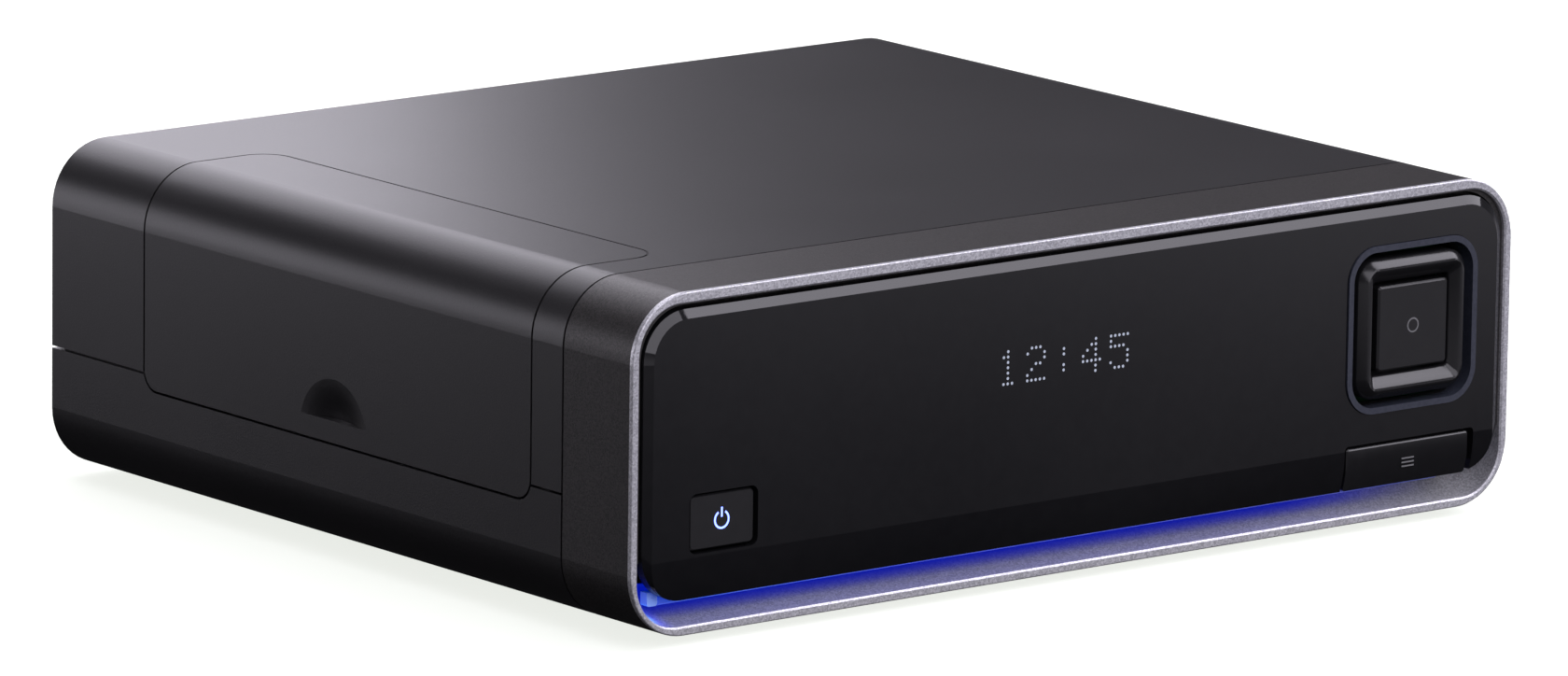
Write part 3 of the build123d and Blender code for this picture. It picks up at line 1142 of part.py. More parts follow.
def drive_tray():
    """The tray: floor, side rails, front plate with a finger opening, and skids."""
    y0 = DOOR_MIDDLE - TRAY_HALF
    y1 = DOOR_MIDDLE + TRAY_HALF
    tail = DRIVE_RIGHT - PLUG_NOTCH_DEPTH
    tray = block(TRAY_FACE, tail, y0, y1, TRAY_Z, DRIVE_BOTTOM - 0.02)
    tray += block(TRAY_FACE, TRAY_FACE + TRAY_FRONT, y0, y1, TRAY_Z, DRIVE_TOP)
    for side in (-1, 1):
        ends = sorted((DOOR_MIDDLE + side * TRAY_HALF, DOOR_MIDDLE + side * (TRAY_HALF - TRAY_WALL)))
        tray += block(TRAY_FACE, tail, ends[0], ends[1], TRAY_Z, TRAY_Z + TRAY_RAIL_HEIGHT)
        tray += block(TRAY_FACE + 2, tail - 2, ends[0], ends[1], TRAY_Z - TRAY_SKID, TRAY_Z + 0.1)
    finger_z = (DRIVE_BOTTOM + DRIVE_TOP) / 2 + 2
    finger = Pos(DOOR_MIDDLE, finger_z) * SlotOverall(FINGER_WIDTH, FINGER_HEIGHT)
    tray -= side_slab(finger, TRAY_FACE - 1, TRAY_FACE + TRAY_FRONT + 0.2)
    middle = (DRIVE_LEFT + DRIVE_RIGHT) / 2
    for k in (-1, 0, 1):
        window = Pos(middle + TRAY_WINDOW_PITCH * k, DOOR_MIDDLE, TRAY_Z - 1)
        window *= RectangleRounded(TRAY_WINDOW, 2 * (TRAY_HALF - TRAY_WINDOW_EDGE), 3.0)
        tray -= extrude(window, amount=TRAY_FLOOR + 2)
    for x, y in drive_screw_spots():
        tray -= rod_z(x, y, TRAY_Z - 1, DRIVE_BOTTOM + 1, M3_SHANK + 0.2)
        tray -= rod_z(x, y, TRAY_Z - 1, TRAY_Z + DRIVE_SCREW_SINK, M3_HEAD + 0.2)
    return tray


def drive_case():
    """The hard drive's cast body, open below for its circuit board."""
    lid_seat = DRIVE_TOP - LID_THICKNESS
    outline = Pos((DRIVE_LEFT + DRIVE_RIGHT) / 2, DOOR_MIDDLE, DRIVE_BOTTOM) * RectangleRounded(
        DRIVE_LENGTH, DRIVE_WIDTH, DRIVE_CORNER)
    body = extrude(outline, amount=lid_seat - DRIVE_BOTTOM)
    half = DRIVE_WIDTH / 2 - DRIVE_RAIL
    body -= block(DRIVE_LEFT + 6, DRIVE_RIGHT + 1, DOOR_MIDDLE - half, DOOR_MIDDLE + half,
                  DRIVE_BOTTOM - 1, DRIVE_BOTTOM + DRIVE_CAVITY_DEPTH)
    body -= block(DRIVE_RIGHT - PLUG_NOTCH_DEPTH, DRIVE_RIGHT + 1,
                  PLUG_MIDDLE - PLUG_NOTCH_WIDTH / 2, PLUG_MIDDLE + PLUG_NOTCH_WIDTH / 2,
                  DRIVE_BOTTOM - 1, DRIVE_BOTTOM + PLUG_NOTCH_HEIGHT)
    for x, y in drive_screw_spots():
        body -= rod_z(x, y, DRIVE_BOTTOM - 1, DRIVE_BOTTOM + 5, M3_SHANK + SCREW_GAP)
    for side in (-1, 1):
        face = DOOR_MIDDLE + side * DRIVE_WIDTH / 2
        for x in (DRIVE_RIGHT - DRIVE_SIDE_HOLE, DRIVE_RIGHT - DRIVE_SIDE_HOLE - DRIVE_SIDE_STEP):
            ends = sorted((face + side, face - side * 4))
            body -= rod_y(x, ends[0], ends[1], DRIVE_BOTTOM + DRIVE_SIDE_HOLE_Z, M3_SHANK)
        ends = sorted((face + side, face - side * 2.2))
        body -= block(DRIVE_LEFT + 24, DRIVE_RIGHT - 40, ends[0], ends[1],
                      DRIVE_BOTTOM + 12, DRIVE_BOTTOM + 19)
    return body


def drive_lid():
    """The drive's stamped lid with its round emboss."""
    outline = Pos((DRIVE_LEFT + DRIVE_RIGHT) / 2, DOOR_MIDDLE, DRIVE_TOP - LID_THICKNESS)
    outline *= RectangleRounded(DRIVE_LENGTH - 3, DRIVE_WIDTH - 3, DRIVE_CORNER + 3)
    lid = extrude(outline, amount=LID_THICKNESS)
    x = DRIVE_LEFT + DRIVE_WIDTH / 2 + 2
    low = DRIVE_TOP - LID_EMBOSS
    ring = rod_z(x, DOOR_MIDDLE, low, DRIVE_TOP + 1, DRIVE_WIDTH * 0.433)
    ring -= rod_z(x, DOOR_MIDDLE, low - 1, DRIVE_TOP + 2, DRIVE_WIDTH * 0.404)
    lid -= ring
    lid -= rod_z(x, DOOR_MIDDLE, low, DRIVE_TOP + 1, DRIVE_WIDTH * 0.06)
    return lid


def drive_board():
    """The drive's own circuit board, component side in."""
    half = DRIVE_WIDTH / 2 - DRIVE_RAIL - 0.5
    low = DRIVE_BOTTOM + DRIVE_CAVITY_DEPTH - BOARD_THICKNESS - 0.3
    board = block(DRIVE_LEFT + 40, DRIVE_RIGHT - PLUG_NOTCH_DEPTH - 0.3, DOOR_MIDDLE - half,
                  DOOR_MIDDLE + half, low, low + BOARD_THICKNESS)
    return board


def drive_plug():
    """The drive's power and data plug in its notch."""
    back = DRIVE_RIGHT - PLUG_NOTCH_DEPTH
    housing = block(back, back + PLUG_NOTCH_DEPTH - PLUG_TONGUE, PLUG_MIDDLE - PLUG_WIDTH / 2,
                    PLUG_MIDDLE + PLUG_WIDTH / 2, PLUG_Z - 3.0, PLUG_Z + 3.0)
    tongue_half = PLUG_WIDTH / 2 - 4
    tongue = block(back, DRIVE_RIGHT, PLUG_MIDDLE - tongue_half, PLUG_MIDDLE + tongue_half,
                   PLUG_Z - PLUG_TONGUE_THICKNESS / 2, PLUG_Z + PLUG_TONGUE_THICKNESS / 2)
    return housing + tongue


def drive_screws():
    """Screws from under the tray into the drive."""
    one = screw(DRIVE_SCREW_LENGTH, head_height=DRIVE_SCREW_HEAD)
    z = TRAY_Z + DRIVE_SCREW_SINK
    return group([Pos(x, y, z) * FACING_DOWN * one for x, y in drive_screw_spots()])


def backplane_socket():
    """The socket that the drive's plug slides into."""
    mouth = DRIVE_RIGHT - PLUG_TONGUE + 0.3
    half = PLUG_WIDTH / 2
    body = block(mouth, BACKPLANE_LEFT, PLUG_MIDDLE - half, PLUG_MIDDLE + half,
                 PLUG_Z - SOCKET_HEIGHT / 2, PLUG_Z + SOCKET_HEIGHT / 2)
    slot_half = half - 4 + 0.4
    body -= block(mouth - 1, mouth + PLUG_TONGUE + 1, PLUG_MIDDLE - slot_half,
                  PLUG_MIDDLE + slot_half, PLUG_Z - SOCKET_SLOT / 2, PLUG_Z + SOCKET_SLOT / 2)
    return body


def backplane_board():
    """The upright board behind the bay."""
    middle = PLUG_MIDDLE
    return block(BACKPLANE_LEFT, BACKPLANE_RIGHT, middle - BACKPLANE_WIDTH / 2,
                 middle + BACKPLANE_WIDTH / 2, MAIN_TOP + 2.0, BOTTOM + BACKPLANE_TOP)


def riser_connector():
    """The slot connector that the backplane board stands in."""
    middle_x = (BACKPLANE_LEFT + BACKPLANE_RIGHT) / 2
    body = block(middle_x - RISER_THICKNESS / 2, middle_x + RISER_THICKNESS / 2,
                 PLUG_MIDDLE - RISER_WIDTH / 2, PLUG_MIDDLE + RISER_WIDTH / 2,
                 MAIN_TOP, MAIN_TOP + RISER_HEIGHT)
    slot = block(BACKPLANE_LEFT - FIT_GAP, BACKPLANE_RIGHT + FIT_GAP,
                 PLUG_MIDDLE - BACKPLANE_WIDTH / 2 - FIT_GAP,
                 PLUG_MIDDLE + BACKPLANE_WIDTH / 2 + FIT_GAP,
                 MAIN_TOP + 2.0, MAIN_TOP + RISER_HEIGHT + 1)
    return body - slot


# ---------------------------------------------------------------- main board
def main_board():
    """The main circuit board, notched round the bay's pillars."""
    board = block(-MAIN_HALF_WIDTH, MAIN_HALF_WIDTH, MAIN_FRONT_Y, MAIN_BACK_Y,
                  MAIN_BOTTOM, MAIN_TOP)
    for x, y in bay_pillar_spots():
        board -= rod_z(x, y, MAIN_BOTTOM - 1, MAIN_TOP + 1, BAY_PILLAR_RADIUS + 0.7)
    for x, y in standoff_spots():
        board -= rod_z(x, y, MAIN_BOTTOM - 1, MAIN_TOP + 1, M3_SHANK + SCREW_GAP)
    for x, z in rear_screw_spots()[:2]:
        reach = REAR_LUG + 1
        board -= block(x - reach, x + reach, REAR_INNER - REAR_LUG_DEPTH - 1, REAR_INNER,
                       MAIN_BOTTOM - 1, MAIN_TOP + 1)
    return board


def board_screws():
    """Screws of the main board."""
    one = screw(BOARD_SCREW_LENGTH)
    return group([Pos(x, y, MAIN_TOP) * one for x, y in standoff_spots()])


def processor():
    """The main chip under its heat sink."""
    y = DOOR_MIDDLE + PROCESSOR_Y
    half = PROCESSOR_SIZE / 2
    chip = block(PROCESSOR_X - half, PROCESSOR_X + half, y - half, y + half, MAIN_TOP,
                 MAIN_TOP + PROCESSOR_HEIGHT)
    return chamfer(chip.edges().group_by(Axis.Z)[-1], 0.3)


def heat_sink():
    """The finned heat sink on the processor."""
    y = DOOR_MIDDLE + PROCESSOR_Y
    half = SINK_SIZE / 2
    low = MAIN_TOP + PROCESSOR_HEIGHT
    sink = block(PROCESSOR_X - half, PROCESSOR_X + half, y - half, y + half, low, low + SINK_BASE)
    pitch = (SINK_SIZE - SINK_FIN_THICKNESS) / (SINK_FINS - 1)
    for k in range(SINK_FINS):
        x = PROCESSOR_X - half + k * pitch
        sink += block(x, x + SINK_FIN_THICKNESS, y - half, y + half, low, low + SINK_HEIGHT)
    return sink


def memory_chips():
    """Four memory chips beside the processor."""
    chips = []
    y = DOOR_MIDDLE + PROCESSOR_Y
    for row in (-1, 1):
        for column in (0, 1):
            x = PROCESSOR_X - MEMORY_REACH - column * MEMORY_PITCH
            middle = y + row * MEMORY_ROW
            chips.append(block(x, x + MEMORY_WIDTH, middle - MEMORY_LENGTH / 2,
                               middle + MEMORY_LENGTH / 2, MAIN_TOP, MAIN_TOP + MEMORY_HEIGHT))
    return group(chips)


def capacitors():
    """Supply capacitors on the main board."""
    cans = []
    for k in range(4):
        x = PROCESSOR_X + CAPACITOR_REACH + CAPACITOR_PITCH * k
        can = rod_z(x, DOOR_MIDDLE + PROCESSOR_Y + CAPACITOR_ROW, MAIN_TOP,
                    MAIN_TOP + CAPACITOR_HEIGHT, CAPACITOR_RADIUS)
        cans.append(fillet(can.edges().group_by(Axis.Z)[-1], CAPACITOR_RADIUS * 0.17))
    return group(cans)


# ---------------------------------------------------------------- back panel, sockets and fan
def socket_outlines():
    """Each rear socket's place in X, width and height; all of them stand on the board."""
    return {
        "esata_socket": (71.5, ESATA_WIDTH, ESATA_HEIGHT),
        "usb_left": (54.0, USB_WIDTH, USB_HEIGHT),
        "usb_right": (36.5, USB_WIDTH, USB_HEIGHT),
        "dc_inlet": (21.5, DC_WIDTH, DC_HEIGHT),
        "ethernet_socket": (2.0, NETWORK_WIDTH, NETWORK_HEIGHT),
        "hdmi_socket": (-16.5, HDMI_WIDTH, HDMI_HEIGHT),
        "optical_socket": (-31.5, OPTICAL_WIDTH, OPTICAL_HEIGHT),
    }


def socket_box(name, depth):
    """The outer block of a rear socket."""
    x, width, height = socket_outlines()[name]
    front = REAR_FACE + SOCKET_PROUD
    return block(x - width / 2, x + width / 2, front - depth, front, MAIN_TOP, MAIN_TOP + height)


def jack_spots():
    """The jacks' middles, in X and Z."""
    return [(JACK_X - column * JACK_PITCH, MAIN_TOP + JACK_PITCH * (row + 0.5))
            for column in range(JACK_COLUMNS) for row in range(JACK_ROWS)]


def grille_holes():
    """Round holes of the fan's grille, in X and Z."""
    holes = []
    steps = int(GRILLE_RADIUS / GRILLE_PITCH) + 1
    for row in range(-steps, steps + 1):
        for column in range(-steps, steps + 1):
            x = (column + 0.5 * (row % 2)) * GRILLE_PITCH
            z = row * GRILLE_PITCH * sqrt(3) / 2
            if hypot(x, z) < GRILLE_RADIUS - GRILLE_HOLE / 2:
                holes.append((FAN_X + x, FAN_MIDDLE + z))
    return holes


def fan_screw_spots():
    """Where the fan is screwed on, in X and Z."""
    return [(FAN_X + sx * FAN_HOLE, FAN_MIDDLE + sz * FAN_HOLE) for sx in (-1, 1) for sz in (-1, 1)]


def rear_panel():
    """The sheet-metal back with its socket cut-outs and fan grille."""
    outline = case_outline(WALL + FIT_GAP)
    for x, width, height in socket_outlines().values():
        outline -= Pos(x, MAIN_TOP + height / 2) * Rectangle(
            width + 2 * SOCKET_GAP, height + 2 * SOCKET_GAP)
    for x, z in jack_spots():
        outline -= Pos(x, z) * Circle(JACK_RADIUS + 0.6)
    for x, z in grille_holes():
        outline -= Pos(x, z) * Circle(GRILLE_HOLE)
    for x, z in fan_screw_spots() + rear_screw_spots():
        outline -= Pos(x, z) * Circle(M3_SHANK + SCREW_GAP)
    return slab(outline, REAR_INNER, REAR_FACE)


def rear_screws():
    """Screws of the rear panel."""
    one = screw(REAR_SCREW_LENGTH)
    return group([Pos(x, REAR_FACE, z) * FACING_BACK * one for x, z in rear_screw_spots()])


def dc_inlet():
    """The barrel inlet of the power supply."""
    x, _, height = socket_outlines()["dc_inlet"]
    z = MAIN_TOP + height / 2
    body = socket_box("dc_inlet", DC_DEPTH)
    body -= rod_y(x, REAR_FACE - DC_BORE_DEPTH, REAR_FACE + 1, z, DC_BORE)
    return body + rod_y(x, REAR_FACE - DC_BORE_DEPTH - 0.5, REAR_FACE - 0.5, z, DC_PIN)


def tongue_socket(name, depth, wall, tongue_thickness, tongue_gap):
    """A metal-shelled socket with a contact tongue."""
    x, width, height = socket_outlines()[name]
    body = socket_box(name, depth)
    inner = width / 2 - wall
    back = REAR_FACE - depth + SOCKET_BACK
    body -= block(x - inner, x + inner, back, REAR_FACE + 1, MAIN_TOP + wall,
                  MAIN_TOP + height - wall)
    middle = MAIN_TOP + height / 2
    tongue_half = inner - tongue_gap
    return body + block(x - tongue_half, x + tongue_half, back - 1, REAR_FACE - TONGUE_SINK,
                        middle, middle + tongue_thickness)


def usb_sockets():
    """Two USB sockets."""
    return group([tongue_socket(name, USB_DEPTH, USB_SHELL, USB_TONGUE, USB_TONGUE_GAP)
                  for name in ("usb_left", "usb_right")])


def esata_socket():
    """The external drive socket."""
    return tongue_socket("esata_socket", ESATA_DEPTH, ESATA_SHELL, ESATA_TONGUE, ESATA_TONGUE_GAP)


def hdmi_socket():
    """The video socket."""
    return tongue_socket("hdmi_socket", HDMI_DEPTH, HDMI_SHELL, HDMI_TONGUE, HDMI_TONGUE_GAP)


def ethernet_socket():
    """The network socket, with the slot of its latch below."""
    x, _, height = socket_outlines()["ethernet_socket"]
    body = socket_box("ethernet_socket", NETWORK_DEPTH)
    back = REAR_FACE - NETWORK_MOUTH_DEPTH
    half = NETWORK_MOUTH / 2
    sill = MAIN_TOP + NETWORK_SILL
    body -= block(x - half, x + half, back, REAR_FACE + 1, sill, MAIN_TOP + height - NETWORK_WALL)
    half = NETWORK_LATCH / 2
    body -= block(x - half, x + half, back, REAR_FACE + 1, sill - NETWORK_LATCH_DEPTH, sill + 0.1)
    return body


def optical_socket():
    """The optical sound socket."""
    x, _, height = socket_outlines()["optical_socket"]
    body = socket_box("optical_socket", OPTICAL_DEPTH)
    half = OPTICAL_MOUTH / 2
    middle = MAIN_TOP + height / 2
    body -= block(x - half, x + half, REAR_FACE - OPTICAL_MOUTH_DEPTH, REAR_FACE + 1,
                  middle - half, middle + half)
    return body


def rca_housing():
    """The black block that holds the jacks."""
    right = JACK_X + JACK_PITCH / 2
    left = right - JACK_COLUMNS * JACK_PITCH
    body = block(left, right, REAR_INNER - JACK_HOUSING_DEPTH, REAR_INNER - FIT_GAP, MAIN_TOP,
                 MAIN_TOP + JACK_ROWS * JACK_PITCH)
    for x, z in jack_spots():
        body -= rod_y(x, REAR_INNER - JACK_SLEEVE_DEPTH, REAR_INNER + 1, z, JACK_RADIUS + PRESS_GAP)
    return body


def rca_sleeves():
    """The jacks' metal sleeves."""
    sleeves = []
    for x, z in jack_spots():
        sleeve = rod_y(x, REAR_INNER - JACK_SLEEVE_DEPTH, REAR_FACE + JACK_REACH, z, JACK_RADIUS)
        sleeve -= rod_y(x, REAR_INNER - JACK_FLOOR, REAR_FACE + JACK_REACH + 1, z, JACK_BORE)
        sleeves.append(sleeve)
    return group(sleeves)


def rca_inserts():
    """The jacks' insulators, each with the hole of the plug's pin."""
    inserts = []
    for x, z in jack_spots():
        end = REAR_FACE + JACK_REACH - JACK_INSERT_SINK
        insert = rod_y(x, REAR_INNER - JACK_FLOOR, end, z, JACK_BORE - PRESS_GAP)
        inserts.append(insert - rod_y(x, end - JACK_PIN_DEPTH, end + 1, z, JACK_PIN_HOLE))
    return group(inserts)


def fan_frame():
    """The fan's square frame with its hub plate and struts."""
    outline = round_box(FAN_X, FAN_MIDDLE, FAN_SIZE, FAN_SIZE, 3.0)
    for x, z in fan_screw_spots():
        outline -= Pos(x, z) * Circle(M3_SHANK + SCREW_GAP)
    bore = Pos(FAN_X, FAN_MIDDLE) * Circle(FAN_BORE)
    frame = slab(outline - bore, FAN_FRONT, REAR_INNER)
    strut = Pos(FAN_X, FAN_MIDDLE) * Rectangle(2 * FAN_BORE + 1, 2.0)
    strut += Pos(FAN_X, FAN_MIDDLE) * Rectangle(2.0, 2 * FAN_BORE + 1)
    hub = Pos(FAN_X, FAN_MIDDLE) * Circle(FAN_HUB)
    back = REAR_INNER - 1.5
    frame += slab((strut + hub) & (bore + outline), back, REAR_INNER)
    frame += rod_y(FAN_X, back - 3.0, back + 0.5, FAN_MIDDLE, 2.6)
    return frame - rod_y(FAN_X, back - 4.0, REAR_INNER + 1, FAN_MIDDLE, FAN_SHAFT + BORE_GAP)


def fan_rotor():
    """The fan's hub, shaft and blades."""
    front = FAN_FRONT + 0.6
    back = REAR_INNER - 1.5 - FAN_BLADE_GAP
    hub = rod_y(FAN_X, front, back, FAN_MIDDLE, FAN_HUB)
    hub -= rod_y(FAN_X, back - 3.2, back + 1, FAN_MIDDLE, FAN_HUB - 1.5)
    shaft = rod_y(FAN_X, front + 1, REAR_INNER - 0.3, FAN_MIDDLE, FAN_SHAFT)
    rotor = hub + shaft
    length = FAN_BORE - FAN_BLADE_GAP - FAN_HUB + 0.8
    middle = (front + back) / 2
    width = (back - front) * 0.98
    limit = rod_y(FAN_X, front, back, FAN_MIDDLE, FAN_BORE - FAN_BLADE_GAP)
    for k in range(FAN_BLADES):
        blade = Pos(FAN_X, middle, FAN_MIDDLE) * Rot(0, 360 * k / FAN_BLADES, 0)
        blade *= Pos(FAN_HUB - 0.8 + length / 2, 0, 0) * Rot(48, 0, 0) * Box(length, width * 1.3, 1.1)
        rotor += blade & limit
    return rotor


def fan_screws():
    """Screws of the fan."""
    one = screw(FAN_SCREW_LENGTH, head_height=FAN_SCREW_HEAD)
    return group([Pos(x, REAR_FACE, z) * FACING_BACK * one for x, z in fan_screw_spots()])


# ---------------------------------------------------------------- feet and case screws
def rubber_feet():
    """Four round rubber feet in their seats."""
    feet = []
    for x, y in foot_spots():
        foot = rod_z(x, y, 0, BOTTOM + FOOT_SEAT, FOOT_RADIUS)
        feet.append(fillet(foot.edges().group_by(Axis.Z)[0], 0.6))
    return group(feet)


def case_screws():
    """Four long screws from below through the tub into the cover."""
    one = screw(CASE_SCREW_LENGTH)
    z = BOTTOM + CASE_SCREW_SINK
    return group([Pos(x, y, z) * FACING_DOWN * one for x, y in case_screw_spots()])


def collar_screws():
    """Two screws from below through the tub into the collar."""
    one = screw(COLLAR_SCREW_LENGTH, head_height=COLLAR_SCREW_HEAD)
    z = BOTTOM + COLLAR_SCREW_SINK
    return group([Pos(x, y, z) * FACING_DOWN * one for x, y in collar_screw_spots()])


PIECES = [
    base_tub, top_cover, front_collar, silver_bezel, front_panel, front_chassis, nav_trim, nav_pad,
    nav_gimbal, ok_button, power_button, option_button, light_guide, glow_led, front_board,
    front_screws, tact_switches, display_module, ir_receiver, hdd_door, hinge_arms, hinge_pins,
    door_catches, drive_bay, bay_screws, drive_tray, drive_case, drive_lid, drive_board, drive_plug,
    drive_screws, backplane_socket, backplane_board, riser_connector, main_board, board_screws,
    processor, heat_sink, memory_chips, capacitors, rear_panel, rear_screws, dc_inlet, usb_sockets,
    esata_socket, ethernet_socket, hdmi_socket, optical_socket, rca_housing, rca_sleeves, rca_inserts,
    fan_frame, fan_rotor, fan_screws, rubber_feet, case_screws, collar_screws,
]


def write_parts():
    """Write each piece to its own file."""
    os.makedirs("parts", exist_ok=True)
    for piece in PIECES:
        export_step(piece(), f"parts/{piece.__name__}.step")


write_parts()
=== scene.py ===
import json
from math import cos, pi, radians, sin

import bmesh
import bpy
from mathutils import Matrix, Vector


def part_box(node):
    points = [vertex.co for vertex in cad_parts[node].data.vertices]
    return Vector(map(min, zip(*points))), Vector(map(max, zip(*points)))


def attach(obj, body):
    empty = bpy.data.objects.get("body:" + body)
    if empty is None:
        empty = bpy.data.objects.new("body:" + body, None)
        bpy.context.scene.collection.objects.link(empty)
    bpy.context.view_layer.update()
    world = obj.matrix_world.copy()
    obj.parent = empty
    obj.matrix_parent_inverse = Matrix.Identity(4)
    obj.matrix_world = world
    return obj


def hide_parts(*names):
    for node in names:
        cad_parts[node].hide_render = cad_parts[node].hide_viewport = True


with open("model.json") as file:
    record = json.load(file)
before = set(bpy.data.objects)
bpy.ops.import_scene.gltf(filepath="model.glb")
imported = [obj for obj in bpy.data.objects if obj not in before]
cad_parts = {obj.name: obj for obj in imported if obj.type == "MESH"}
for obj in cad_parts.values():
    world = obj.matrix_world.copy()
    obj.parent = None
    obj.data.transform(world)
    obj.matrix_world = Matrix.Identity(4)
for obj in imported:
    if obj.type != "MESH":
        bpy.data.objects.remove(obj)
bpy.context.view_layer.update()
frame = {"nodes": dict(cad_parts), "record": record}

# Looks of the media player. X is to the right, Y to the back and Z up, as in the part. Sizes on
# the part are written in mm and turned into Blender's metres with MM. The floor and the lamps
# are written in metres.
MM = 0.001
TURN = 2 * pi

# ---------------------------------------------------------------- camera, floor and light
CAMERA_PLACE = Vector((-1470.654, -1839.379, 519.783)) * MM
CAMERA_RIGHT = Vector((0.78212499, -0.62297399, 0.01356122))
CAMERA_UP = Vector((0.11614853, 0.16713383, 0.97906884))
CAMERA_AHEAD = Vector((0.61220096, 0.76417909, -0.20307706))
CAMERA_SENSOR = 36.0         # mm
CAMERA_LENS = 277.9          # mm
CAMERA_CLIP = (0.1, 30.0)    # nearest and farthest distance seen, in metres
FLOOR_SIZE = 8.0
FLOOR_COLOUR = (0.40, 0.41, 0.39, 1)
FLOOR_GLOW = (0.80, 0.82, 0.78, 1)
FLOOR_ROUGHNESS = 0.95
FLOOR_SPECULAR = 0.1
BACKGROUND = (0.975, 0.99, 0.965, 1)
# the room's brightness by height: 0 is straight below, 0.5 the horizon, 1 straight above
ROOM_SHADES = [(0.0, 0.012), (0.386, 0.03), (0.397, 0.20), (0.407, 0.70), (0.44, 0.70),
               (0.53, 0.16), (0.60, 0.10), (1.0, 0.22)]
ROOM_TINT = (1.0, 0.965, 1.07)
ROOM_FRONT = (0.62, -0.76, 0.0)      # the side where the room is brightest
ROOM_BEHIND = 0.35                   # share of that brightness on the opposite side

# name, place, point that it faces, width and height (all in metres), power in watts
LAMPS = [
    ("key", (0.86, -0.46, 0.88), (0.0, 0.0, 0.03), 0.96, 1.0, 11.0),
    ("overhead", (-0.10, 0.25, 1.35), (0.0, 0.0, 0.0), 1.2, 1.0, 8.0),
    ("behind_left", (0.20, 0.82, 0.43), (-0.10, 0.06, 0.066), 0.60, 0.66, 2.9),
    ("front_fill", (-0.10, -1.6, 0.80), (0.0, 0.0, 0.03), 1.9, 1.4, 18.0),
    ("left_card", (-0.50, 0.58, 0.10), (-0.11, 0.09, 0.045), 0.30, 0.26, 0.60),
]


def set_ramp(ramp, stops):
    """Put the stops, each a position and a colour, on a colour ramp."""
    points = ramp.color_ramp.elements
    for _ in range(len(stops) - len(points)):
        points.new(0.5)
    for point, (position, colour) in zip(points, stops):
        point.position = position
        point.color = (*colour, 1)


def facing_of(tree, vector, direction):
    """How far a vector points in a direction: their dot product."""
    dot = tree.nodes.new("ShaderNodeVectorMath")
    dot.operation = "DOT_PRODUCT"
    dot.inputs[1].default_value = direction
    tree.links.new(vector, dot.inputs[0])
    return dot.outputs["Value"]


def place_camera():
    """Set the camera where the photograph was taken from."""
    data = bpy.data.cameras.new("photo_camera")
    data.sensor_width = CAMERA_SENSOR
    data.lens = CAMERA_LENS
    data.clip_start, data.clip_end = CAMERA_CLIP
    camera = bpy.data.objects.new("photo_camera", data)
    bpy.context.collection.objects.link(camera)
    turned = Matrix((CAMERA_RIGHT, CAMERA_UP, -CAMERA_AHEAD)).transposed().to_4x4()
    camera.matrix_world = Matrix.Translation(CAMERA_PLACE) @ turned
    bpy.context.scene.camera = camera


def lay_floor():
    """A plain pale floor under the feet."""
    half = FLOOR_SIZE / 2
    mesh = bpy.data.meshes.new("floor")
    corners = [(-half, -half, 0), (half, -half, 0), (half, half, 0), (-half, half, 0)]
    mesh.from_pydata(corners, [], [(0, 1, 2, 3)])
    floor = bpy.data.objects.new("floor", mesh)
    bpy.context.collection.objects.link(floor)
    paper = bpy.data.materials.new("pale_paper")
    paper.use_nodes = True
    shader = paper.node_tree.nodes["Principled BSDF"]
    shader.inputs["Base Color"].default_value = FLOOR_COLOUR
    shader.inputs["Roughness"].default_value = FLOOR_ROUGHNESS
    shader.inputs["Specular IOR Level"].default_value = FLOOR_SPECULAR
    shader.inputs["Emission Color"].default_value = FLOOR_GLOW
    shader.inputs["Emission Strength"].default_value = 1.0
    mesh.materials.append(paper)
    # the floor is only looked at: it neither lights the part nor shows in its gloss
    floor.visible_diffuse = floor.visible_glossy = floor.visible_shadow = False


def light_room():
    """A room that is only seen as light and gloss, in front of a pale background."""
    world = bpy.data.worlds.new("studio")
    bpy.context.scene.world = world
    world.use_nodes = True
    tree = world.node_tree
    seen = tree.nodes["Background"]
    seen.inputs["Color"].default_value = BACKGROUND
    room = tree.nodes.new("ShaderNodeBackground")
    where = tree.nodes.new("ShaderNodeTexCoord")
    split = tree.nodes.new("ShaderNodeSeparateXYZ")
    height = tree.nodes.new("ShaderNodeMapRange")
    height.inputs["From Min"].default_value = -1.0
    shades = tree.nodes.new("ShaderNodeValToRGB")
    set_ramp(shades, [(position, [shade * tint for tint in ROOM_TINT])
                      for position, shade in ROOM_SHADES])
    tree.links.new(where.outputs["Generated"], split.inputs["Vector"])
    tree.links.new(split.outputs["Z"], height.inputs["Value"])
    tree.links.new(height.outputs["Result"], shades.inputs["Fac"])
    tree.links.new(shades.outputs["Color"], room.inputs["Color"])
    share = tree.nodes.new("ShaderNodeMapRange")
    share.inputs["From Min"].default_value = -1.0
    share.inputs["To Min"].default_value = ROOM_BEHIND
    tree.links.new(facing_of(tree, where.outputs["Generated"], ROOM_FRONT), share.inputs["Value"])
    tree.links.new(share.outputs["Result"], room.inputs["Strength"])
    path = tree.nodes.new("ShaderNodeLightPath")
    choice = tree.nodes.new("ShaderNodeMixShader")
    tree.links.new(path.outputs["Is Camera Ray"], choice.inputs["Fac"])
    tree.links.new(room.outputs["Background"], choice.inputs[1])
    tree.links.new(seen.outputs["Background"], choice.inputs[2])
    tree.links.new(choice.outputs["Shader"], tree.nodes["World Output"].inputs["Surface"])
    bpy.context.scene.view_settings.view_transform = "Standard"


